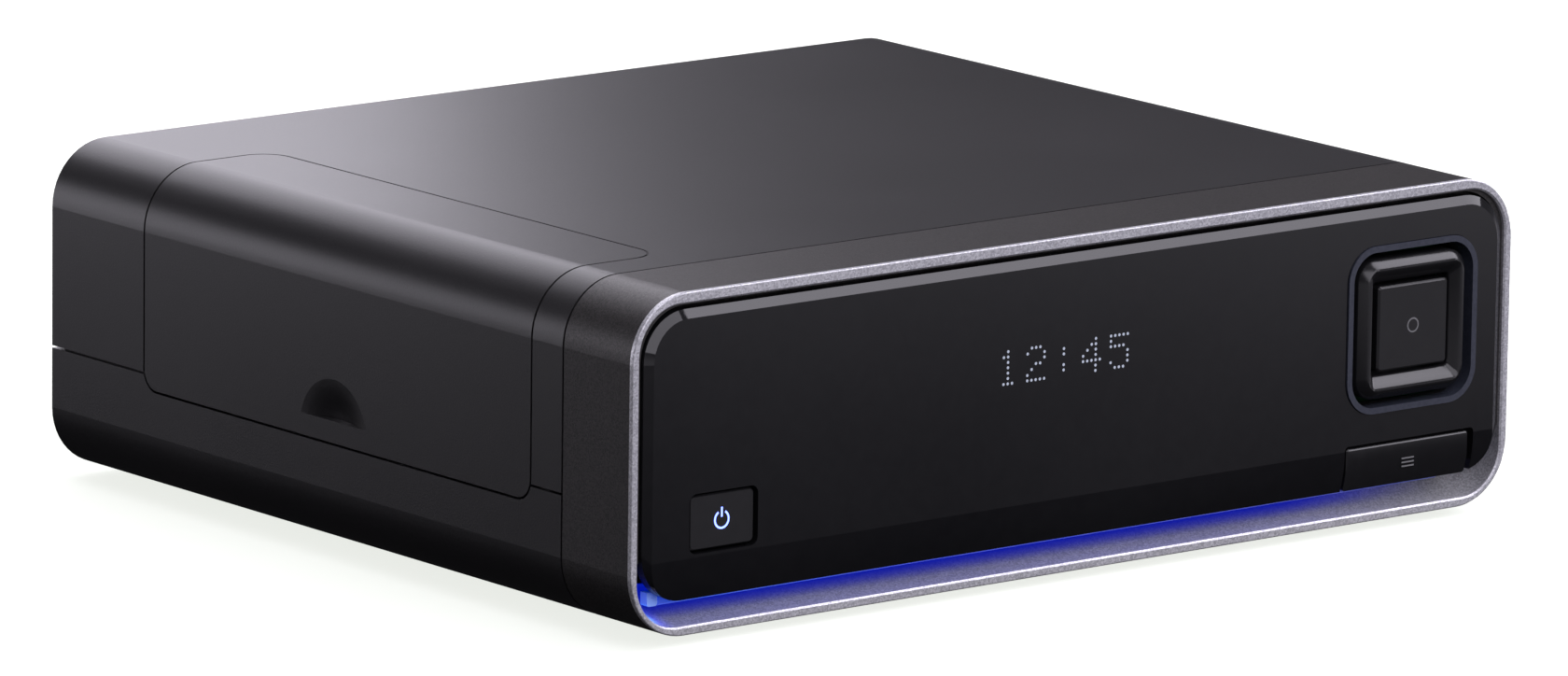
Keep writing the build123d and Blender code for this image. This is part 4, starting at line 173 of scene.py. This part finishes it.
def hang_lamps():
    """Soft rectangular lamps that the camera doesn't see."""
    for name, place, target, width, height, power in LAMPS:
        data = bpy.data.lights.new(name, "AREA")
        data.shape = "RECTANGLE"
        data.size, data.size_y = width, height
        data.energy = power
        data.color = ROOM_TINT
        lamp = bpy.data.objects.new(name, data)
        bpy.context.collection.objects.link(lamp)
        lamp.location = place
        turned = (Vector(place) - Vector(target)).to_track_quat("Z", "Y")
        lamp.rotation_euler = turned.to_euler()
        lamp.visible_camera = False


# ---------------------------------------------------------------- shared surface effects
def add_node(tree, kind, **values):
    """A shader node with its sockets set by name."""
    made = tree.nodes.new(kind)
    for name, value in values.items():
        made.inputs[name.replace("_", " ")].default_value = value
    return made


def new_group(name, inputs, outputs):
    """An empty shader group with named float inputs and outputs."""
    group = bpy.data.node_groups.new(name, "ShaderNodeTree")
    for label, value in inputs.items():
        socket = group.interface.new_socket(label, in_out="INPUT", socket_type="NodeSocketFloat")
        socket.default_value = value
    for label in outputs:
        group.interface.new_socket(label, in_out="OUTPUT", socket_type="NodeSocketFloat")
    return group, group.nodes.new("NodeGroupInput"), group.nodes.new("NodeGroupOutput")


def noise_in(group, start, scale, detail):
    """A noise in the part's own coordinates, with its scale taken from a group input."""
    where = group.nodes.new("ShaderNodeTexCoord")
    noise = add_node(group, "ShaderNodeTexNoise", Detail=detail, Roughness=0.6)
    group.links.new(where.outputs["Object"], noise.inputs["Vector"])
    group.links.new(start.outputs[scale], noise.inputs["Scale"])
    return noise


def blended(group, first, second, share):
    """Two values mixed, with the share that the second one has."""
    mix = group.nodes.new("ShaderNodeMix")
    mix.inputs["Factor"].default_value = share
    group.links.new(first, mix.inputs["A"])
    group.links.new(second, mix.inputs["B"])
    return mix.outputs["Result"]


def moulded_grain():
    """Fine mould texture with slow clouds of tone."""
    group, start, end = new_group("moulded_grain", {"Grain": 2600.0, "Clouds": 14.0},
                                  ("Height", "Tone"))
    fine = noise_in(group, start, "Grain", 2.0)
    clouds = noise_in(group, start, "Clouds", 3.0)
    tone = blended(group, fine.outputs["Fac"], clouds.outputs["Fac"], 0.35)
    group.links.new(fine.outputs["Fac"], end.inputs["Height"])
    group.links.new(tone, end.inputs["Tone"])
    return group


def metal_flake():
    """Small flakes in a metallic paint, each with its own brightness."""
    group, start, end = new_group("metal_flake", {"Flakes": 3200.0, "Clouds": 20.0},
                                  ("Height", "Tone"))
    where = group.nodes.new("ShaderNodeTexCoord")
    flakes = group.nodes.new("ShaderNodeTexVoronoi")
    group.links.new(where.outputs["Object"], flakes.inputs["Vector"])
    group.links.new(start.outputs["Flakes"], flakes.inputs["Scale"])
    shade = group.nodes.new("ShaderNodeSeparateColor")
    group.links.new(flakes.outputs["Color"], shade.inputs["Color"])
    clouds = noise_in(group, start, "Clouds", 2.0)
    tone = blended(group, shade.outputs["Red"], clouds.outputs["Fac"], 0.25)
    group.links.new(shade.outputs["Green"], end.inputs["Height"])
    group.links.new(tone, end.inputs["Tone"])
    return group


def polish_marks():
    """Faint wiping marks on a polished face."""
    group, start, end = new_group("polish_marks", {"Marks": 9.0, "Specks": 420.0},
                                  ("Height", "Tone"))
    marks = noise_in(group, start, "Marks", 5.0)
    specks = noise_in(group, start, "Specks", 2.0)
    tone = blended(group, marks.outputs["Fac"], specks.outputs["Fac"], 0.3)
    group.links.new(marks.outputs["Fac"], end.inputs["Height"])
    group.links.new(tone, end.inputs["Tone"])
    return group


def drawn_lines():
    """Fine lines along one direction, as on rolled or turned metal."""
    group, start, end = new_group("drawn_lines", {"Lines": 900.0, "Along": 12.0},
                                  ("Height", "Tone"))
    where = group.nodes.new("ShaderNodeTexCoord")
    split = group.nodes.new("ShaderNodeSeparateXYZ")
    join = group.nodes.new("ShaderNodeCombineXYZ")
    group.links.new(where.outputs["Object"], split.inputs["Vector"])
    for axis, scale in (("X", "Along"), ("Y", "Lines"), ("Z", "Lines")):
        stretch = group.nodes.new("ShaderNodeMath")
        stretch.operation = "MULTIPLY"
        group.links.new(split.outputs[axis], stretch.inputs[0])
        group.links.new(start.outputs[scale], stretch.inputs[1])
        group.links.new(stretch.outputs["Value"], join.inputs[axis])
    noise = add_node(group, "ShaderNodeTexNoise", Scale=1.0, Detail=3.0)
    group.links.new(join.outputs["Vector"], noise.inputs["Vector"])
    group.links.new(noise.outputs["Fac"], end.inputs["Height"])
    group.links.new(noise.outputs["Fac"], end.inputs["Tone"])
    return group


EFFECTS = {make.__name__: make()
           for make in (moulded_grain, metal_flake, polish_marks, drawn_lines)}


# ---------------------------------------------------------------- materials
def finish_for(name, effect, dark, light, roughness, bump=0.0, metallic=0.0, spread=(0.35, 0.65),
               effect_values=None, rough_spread=0.0, **sockets):
    """A material whose colour, roughness and relief come from one of the shared effects.

    The spread is the range of the effect's tone over which dark turns into light, and bump is
    the height of the relief (mm).
    """
    material = bpy.data.materials.new(name)
    material.use_nodes = True
    tree = material.node_tree
    shader = tree.nodes["Principled BSDF"]
    shader.inputs["Metallic"].default_value = metallic
    for label, value in sockets.items():
        shader.inputs[label.replace("_", " ")].default_value = value
    source = tree.nodes.new("ShaderNodeGroup")
    source.node_tree = EFFECTS[effect]
    for label, value in (effect_values or {}).items():
        source.inputs[label].default_value = value
    ramp = tree.nodes.new("ShaderNodeValToRGB")
    set_ramp(ramp, list(zip(spread, (dark, light))))
    tree.links.new(source.outputs["Tone"], ramp.inputs["Fac"])
    tree.links.new(ramp.outputs["Color"], shader.inputs["Base Color"])
    if rough_spread:
        rough = tree.nodes.new("ShaderNodeMapRange")
        rough.inputs["To Min"].default_value = roughness - rough_spread
        rough.inputs["To Max"].default_value = roughness + rough_spread
        tree.links.new(source.outputs["Tone"], rough.inputs["Value"])
        tree.links.new(rough.outputs["Result"], shader.inputs["Roughness"])
    else:
        shader.inputs["Roughness"].default_value = roughness
    if bump:
        relief = tree.nodes.new("ShaderNodeBump")
        relief.inputs["Strength"].default_value = 1.0
        relief.inputs["Distance"].default_value = bump * MM
        tree.links.new(source.outputs["Height"], relief.inputs["Height"])
        tree.links.new(relief.outputs["Normal"], shader.inputs["Normal"])
    return material


def ramp_along_x(material, stops):
    """Colour the glow of a lit piece by its place along X, each stop a place (mm) and a colour."""
    tree = material.node_tree
    first, last = stops[0][0], stops[-1][0]
    where = tree.nodes.new("ShaderNodeTexCoord")
    split = tree.nodes.new("ShaderNodeSeparateXYZ")
    span = tree.nodes.new("ShaderNodeMapRange")
    span.inputs["From Min"].default_value = first * MM
    span.inputs["From Max"].default_value = last * MM
    ramp = tree.nodes.new("ShaderNodeValToRGB")
    set_ramp(ramp, [((x - first) / (last - first), colour) for x, colour in stops])
    tree.links.new(where.outputs["Object"], split.inputs["Vector"])
    tree.links.new(split.outputs["X"], span.inputs["Value"])
    tree.links.new(span.outputs["Result"], ramp.inputs["Fac"])
    shader = tree.nodes["Principled BSDF"]
    tree.links.new(ramp.outputs["Color"], shader.inputs["Emission Color"])


def spread_mask(tree, value, low, high):
    """A soft step of a value between two places (mm)."""
    step = tree.nodes.new("ShaderNodeMapRange")
    step.interpolation_type = "SMOOTHSTEP"
    step.inputs["From Min"].default_value = low * MM
    step.inputs["From Max"].default_value = high * MM
    tree.links.new(value, step.inputs["Value"])
    return step.outputs["Result"]


def product(tree, first, second):
    """Two masks multiplied."""
    both = tree.nodes.new("ShaderNodeMath")
    both.operation = "MULTIPLY"
    tree.links.new(first, both.inputs[0])
    tree.links.new(second, both.inputs[1])
    return both.outputs["Value"]


def tinted(tree, mask, under, colour):
    """A colour laid where a mask is 1 over another colour, or over black if there is none."""
    mix = tree.nodes.new("ShaderNodeMix")
    mix.data_type = "RGBA"
    mix.inputs["A"].default_value = (0, 0, 0, 1)
    mix.inputs["B"].default_value = (*colour, 1)
    tree.links.new(mask, mix.inputs["Factor"])
    if under:
        tree.links.new(under, mix.inputs["A"])
    return mix.outputs["Result"]


def patch_mask(tree, position, middle, lean, radii):
    """A soft oval patch: 1 in its middle and 0 from its rim on (mm, lean about Y)."""
    place = tree.nodes.new("ShaderNodeMapping")
    place.vector_type = "TEXTURE"
    place.inputs["Location"].default_value = Vector(middle) * MM
    place.inputs["Rotation"].default_value = (0, radians(lean), 0)
    place.inputs["Scale"].default_value = Vector(radii) * MM
    tree.links.new(position, place.inputs["Vector"])
    away = tree.nodes.new("ShaderNodeVectorMath")
    away.operation = "LENGTH"
    tree.links.new(place.outputs["Vector"], away.inputs[0])
    step = tree.nodes.new("ShaderNodeMapRange")
    step.interpolation_type = "SMOOTHSTEP"
    step.inputs["From Min"].default_value = 1.0
    step.inputs["From Max"].default_value = 0.0
    tree.links.new(away.outputs["Value"], step.inputs["Value"])
    return step.outputs["Result"]


# the light guide's colour along X (mm)
GUIDE_GLOW = [(-101.5, (0.0, 0.06, 0.85)), (-92.0, (0.0, 0.10, 1.0)), (-40.0, (0.012, 0.05, 0.95)),
              (40.0, (0.010, 0.02, 0.60)), (94.0, (0.004, 0.008, 0.16))]
# where the guide's glow is painted on the silver cove as emission (mm): none at the first place,
# full at the second
GLOW_DEPTHS = (-92.6, -88.2)     # along Y
GLOW_FADE = (98.0, 55.0)         # along X
GLOW_HEIGHTS = (13.0, 10.0)      # along Z, so that it ends at the panel's foot
# painted light: the blue that the guide's glow lays on the silver cove, set as emission
PAINTED_GLOW_BLUE = (0.0, 0.006, 0.34)
# the lamp's streak and the softer halo round it, painted as highlight and glow at the lower left
# corner of the cove
CORNER_MIDDLE = (-103.6, -92.8, 6.6)     # mm
CORNER_LEAN = 42.0                       # degrees about Y
PAINTED_CORNER_GLOWS = [((7.5, 5.0, 4.2), (0.0, 0.03, 0.85)),      # radii (mm) and colour of the halo
                  ((3.9, 3.4, 1.5), (0.20, 0.80, 1.25))]     # and of the streak
COVE_FRONT = (-95.95, -95.4)         # the ring's face in front of this stays silver
COVE_FACING = (0.60, -0.25, 0.76)    # the cove looks this way, the ring's outside doesn't
COVE_EDGE = (0.0, 0.35)              # read as mm by spread_mask, so in effect a sharp step at 0
# painted shade: the silver's colour is darkened here in place of the panel's shadow
PAINTED_COVE_SHADE = (0.02, 0.02, 0.06, 1)   # the silver under the glow, shaded by the panel


def paint_cove_glow_and_shade(material):
    """Painted blue glow and painted shade on the cove under the panel, brightest at the lamp's
    corner.
    """
    tree = material.node_tree
    where = tree.nodes.new("ShaderNodeTexCoord")
    split = tree.nodes.new("ShaderNodeSeparateXYZ")
    position = where.outputs["Object"]
    tree.links.new(position, split.inputs["Vector"])
    x, y, z = (split.outputs[axis] for axis in "XYZ")
    band = product(tree, spread_mask(tree, y, *GLOW_DEPTHS), spread_mask(tree, x, *GLOW_FADE))
    band = product(tree, band, spread_mask(tree, z, *GLOW_HEIGHTS))
    inwards = spread_mask(tree, facing_of(tree, where.outputs["Normal"], COVE_FACING), *COVE_EDGE)
    inside = product(tree, spread_mask(tree, y, *COVE_FRONT), inwards)
    band = product(tree, band, inwards)
    colour = tinted(tree, band, None, PAINTED_GLOW_BLUE)
    for radii, blue in PAINTED_CORNER_GLOWS:
        patch = patch_mask(tree, position, CORNER_MIDDLE, CORNER_LEAN, radii)
        colour = tinted(tree, product(tree, patch, inside), colour, blue)
    shader = tree.nodes["Principled BSDF"]
    silver = shader.inputs["Base Color"].links[0].from_socket
    # painted shade: the silver's base colour is darkened under the glow
    shade = tree.nodes.new("ShaderNodeMix")
    shade.data_type = "RGBA"
    shade.inputs["B"].default_value = PAINTED_COVE_SHADE
    tree.links.new(band, shade.inputs["Factor"])
    tree.links.new(silver, shade.inputs["A"])
    tree.links.new(shade.outputs["Result"], shader.inputs["Base Color"])
    # painted light: the guide's glow and the lamp's streak set as the silver's emission
    tree.links.new(colour, shader.inputs["Emission Color"])
    shader.inputs["Emission Strength"].default_value = 1.0


def make_finishes():
    """One material for each of the record's slots, and those of the drawn signs.

    Each line gives the effect, its dark and light colour, the roughness, and what differs from
    finish_for's usual values.
    """
    looks = {
        "case_plastic": ("moulded_grain", (0.014, 0.0135, 0.0145), (0.024, 0.023, 0.0245), 0.36,
                         dict(bump=0.02, rough_spread=0.05)),
        "collar_plastic": ("metal_flake", (0.022, 0.021, 0.021), (0.060, 0.056, 0.055), 0.40,
                           dict(bump=0.008, metallic=0.35, spread=(0.1, 0.9),
                                effect_values={"Flakes": 3600.0})),
        "silver_paint": ("metal_flake", (0.40, 0.40, 0.435), (0.78, 0.78, 0.82), 0.36,
                         dict(bump=0.02, metallic=0.5, spread=(0.05, 0.95))),
        "gloss_black": ("polish_marks", (0.006, 0.006, 0.007), (0.009, 0.009, 0.010), 0.06,
                        dict(rough_spread=0.03)),
        "key_black": ("polish_marks", (0.008, 0.008, 0.009), (0.013, 0.013, 0.014), 0.20,
                      dict(rough_spread=0.03)),
        "trim_grey": ("moulded_grain", (0.030, 0.034, 0.050), (0.045, 0.05, 0.07), 0.22,
                      dict(effect_values={"Grain": 1500.0})),
        "inner_plastic": ("moulded_grain", (0.016, 0.016, 0.017), (0.026, 0.026, 0.028), 0.45,
                          dict(bump=0.015)),
        "clear_guide": ("polish_marks", (0.10, 0.14, 0.40), (0.12, 0.18, 0.48), 0.15,
                        dict(Emission_Strength=0.45)),
        "lamp": ("polish_marks", (0.3, 0.5, 0.9), (0.4, 0.6, 1.0), 0.2,
                 dict(Emission_Color=(0.0, 0.05, 0.8, 1), Emission_Strength=0.25)),
        "board_green": ("moulded_grain", (0.006, 0.045, 0.018), (0.012, 0.075, 0.030), 0.32,
                        dict(bump=0.01, effect_values={"Grain": 700.0, "Clouds": 90.0})),
        "board_blue": ("moulded_grain", (0.006, 0.018, 0.050), (0.010, 0.030, 0.080), 0.32,
                       dict(bump=0.01, effect_values={"Grain": 700.0, "Clouds": 90.0})),
        "chip_black": ("moulded_grain", (0.014, 0.014, 0.015), (0.022, 0.022, 0.023), 0.5,
                       dict(bump=0.01)),
        "display_glass": ("polish_marks", (0.006, 0.010, 0.010), (0.010, 0.016, 0.016), 0.08, {}),
        "receiver_lens": ("polish_marks", (0.020, 0.003, 0.006), (0.032, 0.006, 0.010), 0.12, {}),
        "sheet_steel": ("drawn_lines", (0.42, 0.43, 0.44), (0.55, 0.56, 0.58), 0.34,
                        dict(bump=0.006, metallic=1.0)),
        "pin_steel": ("drawn_lines", (0.40, 0.40, 0.41), (0.52, 0.52, 0.53), 0.28,
                      dict(bump=0.004, metallic=1.0)),
        "screw_steel": ("drawn_lines", (0.36, 0.36, 0.37), (0.48, 0.48, 0.49), 0.30,
                        dict(bump=0.004, metallic=1.0)),
        "screw_black": ("drawn_lines", (0.020, 0.020, 0.021), (0.035, 0.035, 0.036), 0.36,
                        dict(bump=0.004, metallic=0.4)),
        "rear_black": ("moulded_grain", (0.016, 0.016, 0.017), (0.026, 0.026, 0.027), 0.5,
                       dict(bump=0.03, effect_values={"Grain": 1500.0})),
        "cast_alloy": ("moulded_grain", (0.30, 0.30, 0.315), (0.44, 0.44, 0.455), 0.42,
                       dict(bump=0.05, metallic=0.9, effect_values={"Grain": 1100.0})),
        "lid_steel": ("drawn_lines", (0.48, 0.48, 0.49), (0.60, 0.60, 0.61), 0.30,
                      dict(bump=0.005, metallic=1.0, effect_values={"Lines": 1300.0})),
        "sink_alloy": ("drawn_lines", (0.20, 0.21, 0.22), (0.30, 0.31, 0.33), 0.4,
                       dict(bump=0.006, metallic=0.9)),
        "can_alloy": ("drawn_lines", (0.50, 0.50, 0.52), (0.62, 0.62, 0.64), 0.3,
                      dict(metallic=1.0)),
        "contact_black": ("moulded_grain", (0.014, 0.014, 0.014), (0.022, 0.022, 0.022), 0.4,
                          dict(bump=0.01)),
        "socket_metal": ("drawn_lines", (0.48, 0.48, 0.48), (0.62, 0.62, 0.62), 0.26,
                         dict(bump=0.003, metallic=1.0)),
        "jack_metal": ("drawn_lines", (0.56, 0.47, 0.30), (0.70, 0.60, 0.40), 0.24,
                       dict(bump=0.003, metallic=1.0)),
        "jack_insulator": ("moulded_grain", (0.50, 0.48, 0.43), (0.60, 0.58, 0.52), 0.45,
                           dict(bump=0.006)),
        "fan_plastic": ("moulded_grain", (0.014, 0.014, 0.015), (0.024, 0.024, 0.025), 0.42,
                        dict(bump=0.012)),
        "foot_rubber": ("moulded_grain", (0.012, 0.012, 0.012), (0.020, 0.020, 0.020), 0.75,
                        dict(bump=0.03, effect_values={"Grain": 1400.0})),
        "power_glow": ("polish_marks", (0.10, 0.14, 0.6), (0.12, 0.18, 0.7), 0.3,
                       dict(Emission_Color=(0.16, 0.22, 1.0, 1), Emission_Strength=4.0)),
        "dot_glow": ("polish_marks", (0.25, 0.27, 0.30), (0.30, 0.32, 0.36), 0.4,
                     dict(Emission_Color=(0.55, 0.62, 0.80, 1), Emission_Strength=0.45)),
        "print_grey": ("polish_marks", (0.16, 0.16, 0.165), (0.20, 0.20, 0.205), 0.45, {}),
    }
    made = {name: finish_for(name, effect, dark, light, roughness, **more)
            for name, (effect, dark, light, roughness, more) in looks.items()}
    ramp_along_x(made["clear_guide"], GUIDE_GLOW)
    # paints the guide's glow, the lamp's streak and the panel's shade onto the silver ring
    paint_cove_glow_and_shade(made["silver_paint"])
    return made


FINISHES = make_finishes()


def dress_solids():
    """Give each solid of the part the finish of its slot."""
    slot_of = {entry["node"]: entry["material_slot"] for entry in frame["record"]["subparts"]}
    for name, solid in frame["nodes"].items():
        finish = FINISHES[slot_of[name]]
        if not solid.material_slots:
            solid.data.materials.append(finish)
        for place in solid.material_slots:
            place.material = finish


# ---------------------------------------------------------------- pieces drawn here
def add_piece(name, mesh, body, slot, finish=None, smooth=True):
    """Put a finished mesh into the scene as a piece that rides on a body."""
    piece = bpy.data.objects.new(name, mesh)
    bpy.context.collection.objects.link(piece)
    mesh.materials.append(FINISHES[finish or slot])
    if smooth:
        mesh.shade_smooth()
    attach(piece, body)
    return piece


def raised_sign(outlines, y_back, thickness):
    """Flat closed outlines in X and Z (mm) raised towards the front as one mesh."""
    shape = bmesh.new()
    for outline in outlines:
        front = [shape.verts.new((x * MM, (y_back - thickness) * MM, z * MM)) for x, z in outline]
        back = [shape.verts.new((x * MM, y_back * MM, z * MM)) for x, z in outline]
        shape.faces.new(front)
        shape.faces.new(back[::-1])
        for here in range(len(outline)):
            there = (here + 1) % len(outline)
            shape.faces.new((front[there], front[here], back[here], back[there]))
    bmesh.ops.recalc_face_normals(shape, faces=shape.faces)
    mesh = bpy.data.meshes.new("sign")
    shape.to_mesh(mesh)
    shape.free()
    return mesh


def disc(x, z, radius, steps=10):
    """A round outline."""
    return [(x + radius * cos(TURN * k / steps), z + radius * sin(TURN * k / steps))
            for k in range(steps)]


def arc_band(x, z, inner, outer, start, end, steps=20):
    """Part of a ring from one angle to another (degrees), as an outline."""
    angles = [radians(start + (end - start) * k / steps) for k in range(steps + 1)]
    rim = [(x + outer * cos(a), z + outer * sin(a)) for a in angles]
    return rim + [(x + inner * cos(a), z + inner * sin(a)) for a in reversed(angles)]


def bar(x, z, width, height):
    """An upright rectangle as an outline."""
    return [(x - width / 2, z - height / 2), (x + width / 2, z - height / 2),
            (x + width / 2, z + height / 2), (x - width / 2, z + height / 2)]


def front_centre(low, high):
    """X and Z of the middle of a box, and Y of its front (mm)."""
    return (low.x + high.x) / 2 / MM, (low.z + high.z) / 2 / MM, low.y / MM


def rounded_ring(x, z, half_width, half_height, corner, steps=10):
    """Points round a rounded rectangle, anticlockwise from its right side."""
    points = []
    centres = [(half_width - corner, half_height - corner, 0),
               (-half_width + corner, half_height - corner, 90),
               (-half_width + corner, -half_height + corner, 180),
               (half_width - corner, -half_height + corner, 270)]
    for dx, dz, start in centres:
        for k in range(steps + 1):
            angle = radians(start + 90 * k / steps)
            points.append((x + dx + corner * cos(angle), z + dz + corner * sin(angle)))
    return points


def ringed_mesh(name, rings):
    """Skin a row of outlines, each with its own depth: [(y, outline), ...] in mm."""
    shape = bmesh.new()
    rows = [[shape.verts.new((x * MM, y * MM, z * MM)) for x, z in outline]
            for y, outline in rings]
    for near, far in zip(rows, rows[1:]):
        for here in range(len(near)):
            there = (here + 1) % len(near)
            shape.faces.new((near[here], near[there], far[there], far[here]))
    bmesh.ops.recalc_face_normals(shape, faces=shape.faces)
    mesh = bpy.data.meshes.new(name)
    shape.to_mesh(mesh)
    shape.free()
    return mesh


# ---------------------------------------------------------------- four-way pad
PAD_HALF = 14.0
PAD_CORNER = 4.5
PAD_CORNER_SHRINK = 0.9              # how much the corner's radius drops for each mm inwards
PAD_OPENING = (11.7, 11.9, 1.3)      # half width, half height and corner where the slope starts
PAD_HOLE = (9.85, 9.3, 0.7)          # and where it ends, round the centre button
# the ridge's section, each point with its depth behind the pad's face (mm): outside by its
# distance in from the outline (mm), inside by its share of the way from the opening to the hole
PAD_OUTSIDE = [(0.0, 5.3), (0.0, 1.75), (0.05, 1.60), (0.16, 1.44), (0.80, 0.80), (1.42, 0.20),
               (1.62, 0.05), (1.9, 0.0)]
PAD_INSIDE = [(0.0, 0.0), (0.08, 0.04), (0.20, 0.20), (0.42, 0.62), (0.66, 1.14), (0.88, 1.58),
              (0.97, 1.78), (1.0, 2.0), (1.0, 5.3)]


def four_way_pad():
    """The pad's rounded ridge, which dips to the centre button."""
    x, z, face = front_centre(*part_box("nav_pad"))
    rings = [(face + depth, rounded_ring(x, z, PAD_HALF - inset, PAD_HALF - inset,
                                         PAD_CORNER - inset * PAD_CORNER_SHRINK))
             for inset, depth in PAD_OUTSIDE]
    for share, depth in PAD_INSIDE:
        half_width, half_height, corner = (
            start + (end - start) * share for start, end in zip(PAD_OPENING, PAD_HOLE))
        rings.append((face + depth, rounded_ring(x, z, half_width, half_height, corner)))
    rings.append(rings[0])
    pad = add_piece("pad_ridge", ringed_mesh("pad_ridge", rings), "pad", "key_black")
    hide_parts("nav_pad")


# ---------------------------------------------------------------- signs on the front
DISPLAY_LEFT, DISPLAY_LOW = -21.7, 41.2      # middle of the lowest dot on the left
DISPLAY_CELL = 6.95          # from one character to the next
DOT_PITCH = 1.05
DOT_RADIUS = 0.30
DOT_RISE = 0.02              # how far the dots stand in front of the panel
DIGITS = {
    "1": ("00100", "01100", "00100", "00100", "00100", "00100", "01110"),
    "2": ("01110", "10001", "00001", "00110", "01000", "10000", "11111"),
    ":": ("00000", "00100", "00100", "00000", "00100", "00100", "00000"),
    "4": ("00010", "00110", "01010", "10010", "11111", "00010", "00010"),
    "5": ("11111", "10000", "11110", "00001", "00001", "10001", "01110"),
}
SHOWN_TIME = "12:45"
SIGN_RISE = 0.03             # how far the signs stand in front of their keys
POWER_RING = (1.45, 1.85)    # inner and outer radius
POWER_ARC = (120, 420)       # degrees, open at the top
POWER_BAR = (0.4, 1.9)       # width and height of the stroke in the opening
CENTRE_RING = (1.2, 1.5)
OPTION_BAR = (3.2, 0.3)
OPTION_PITCH = 0.8


def display_dots(face):
    """The lit dots of the display, showing a clock time."""
    dots = []
    for place, sign in enumerate(SHOWN_TIME):
        for row, line in enumerate(reversed(DIGITS[sign])):
            for column, lit in enumerate(line):
                if lit == "1":
                    x = DISPLAY_LEFT + place * DISPLAY_CELL + column * DOT_PITCH
                    dots.append(disc(x, DISPLAY_LOW + row * DOT_PITCH, DOT_RADIUS))
    add_piece("display_dots", raised_sign(dots, face, DOT_RISE), "case", "display_glass",
              finish="dot_glow", smooth=False)


def key_signs():
    """A power sign, a ring and three bars on the keys."""
    x, z, face = front_centre(*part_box("power_button"))
    power = [arc_band(x, z, *POWER_RING, *POWER_ARC), bar(x, z + POWER_RING[0], *POWER_BAR)]
    add_piece("power_sign", raised_sign(power, face, SIGN_RISE), "power_key", "key_black",
              finish="power_glow", smooth=False)
    x, z, face = front_centre(*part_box("ok_button"))
    ring = [arc_band(x, z, *CENTRE_RING, 0, 180), arc_band(x, z, *CENTRE_RING, 180, 360)]
    add_piece("centre_sign", raised_sign(ring, face, SIGN_RISE), "centre_key", "key_black",
              finish="print_grey", smooth=False)
    x, z, face = front_centre(*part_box("option_button"))
    bars = [bar(x, z + rise, *OPTION_BAR) for rise in (-OPTION_PITCH, 0.0, OPTION_PITCH)]
    add_piece("option_sign", raised_sign(bars, face, SIGN_RISE), "option_key", "key_black",
              finish="print_grey", smooth=False)


place_camera()
lay_floor()
light_room()
hang_lamps()
dress_solids()
four_way_pad()
display_dots(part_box("front_panel")[0].y / MM)
key_signs()
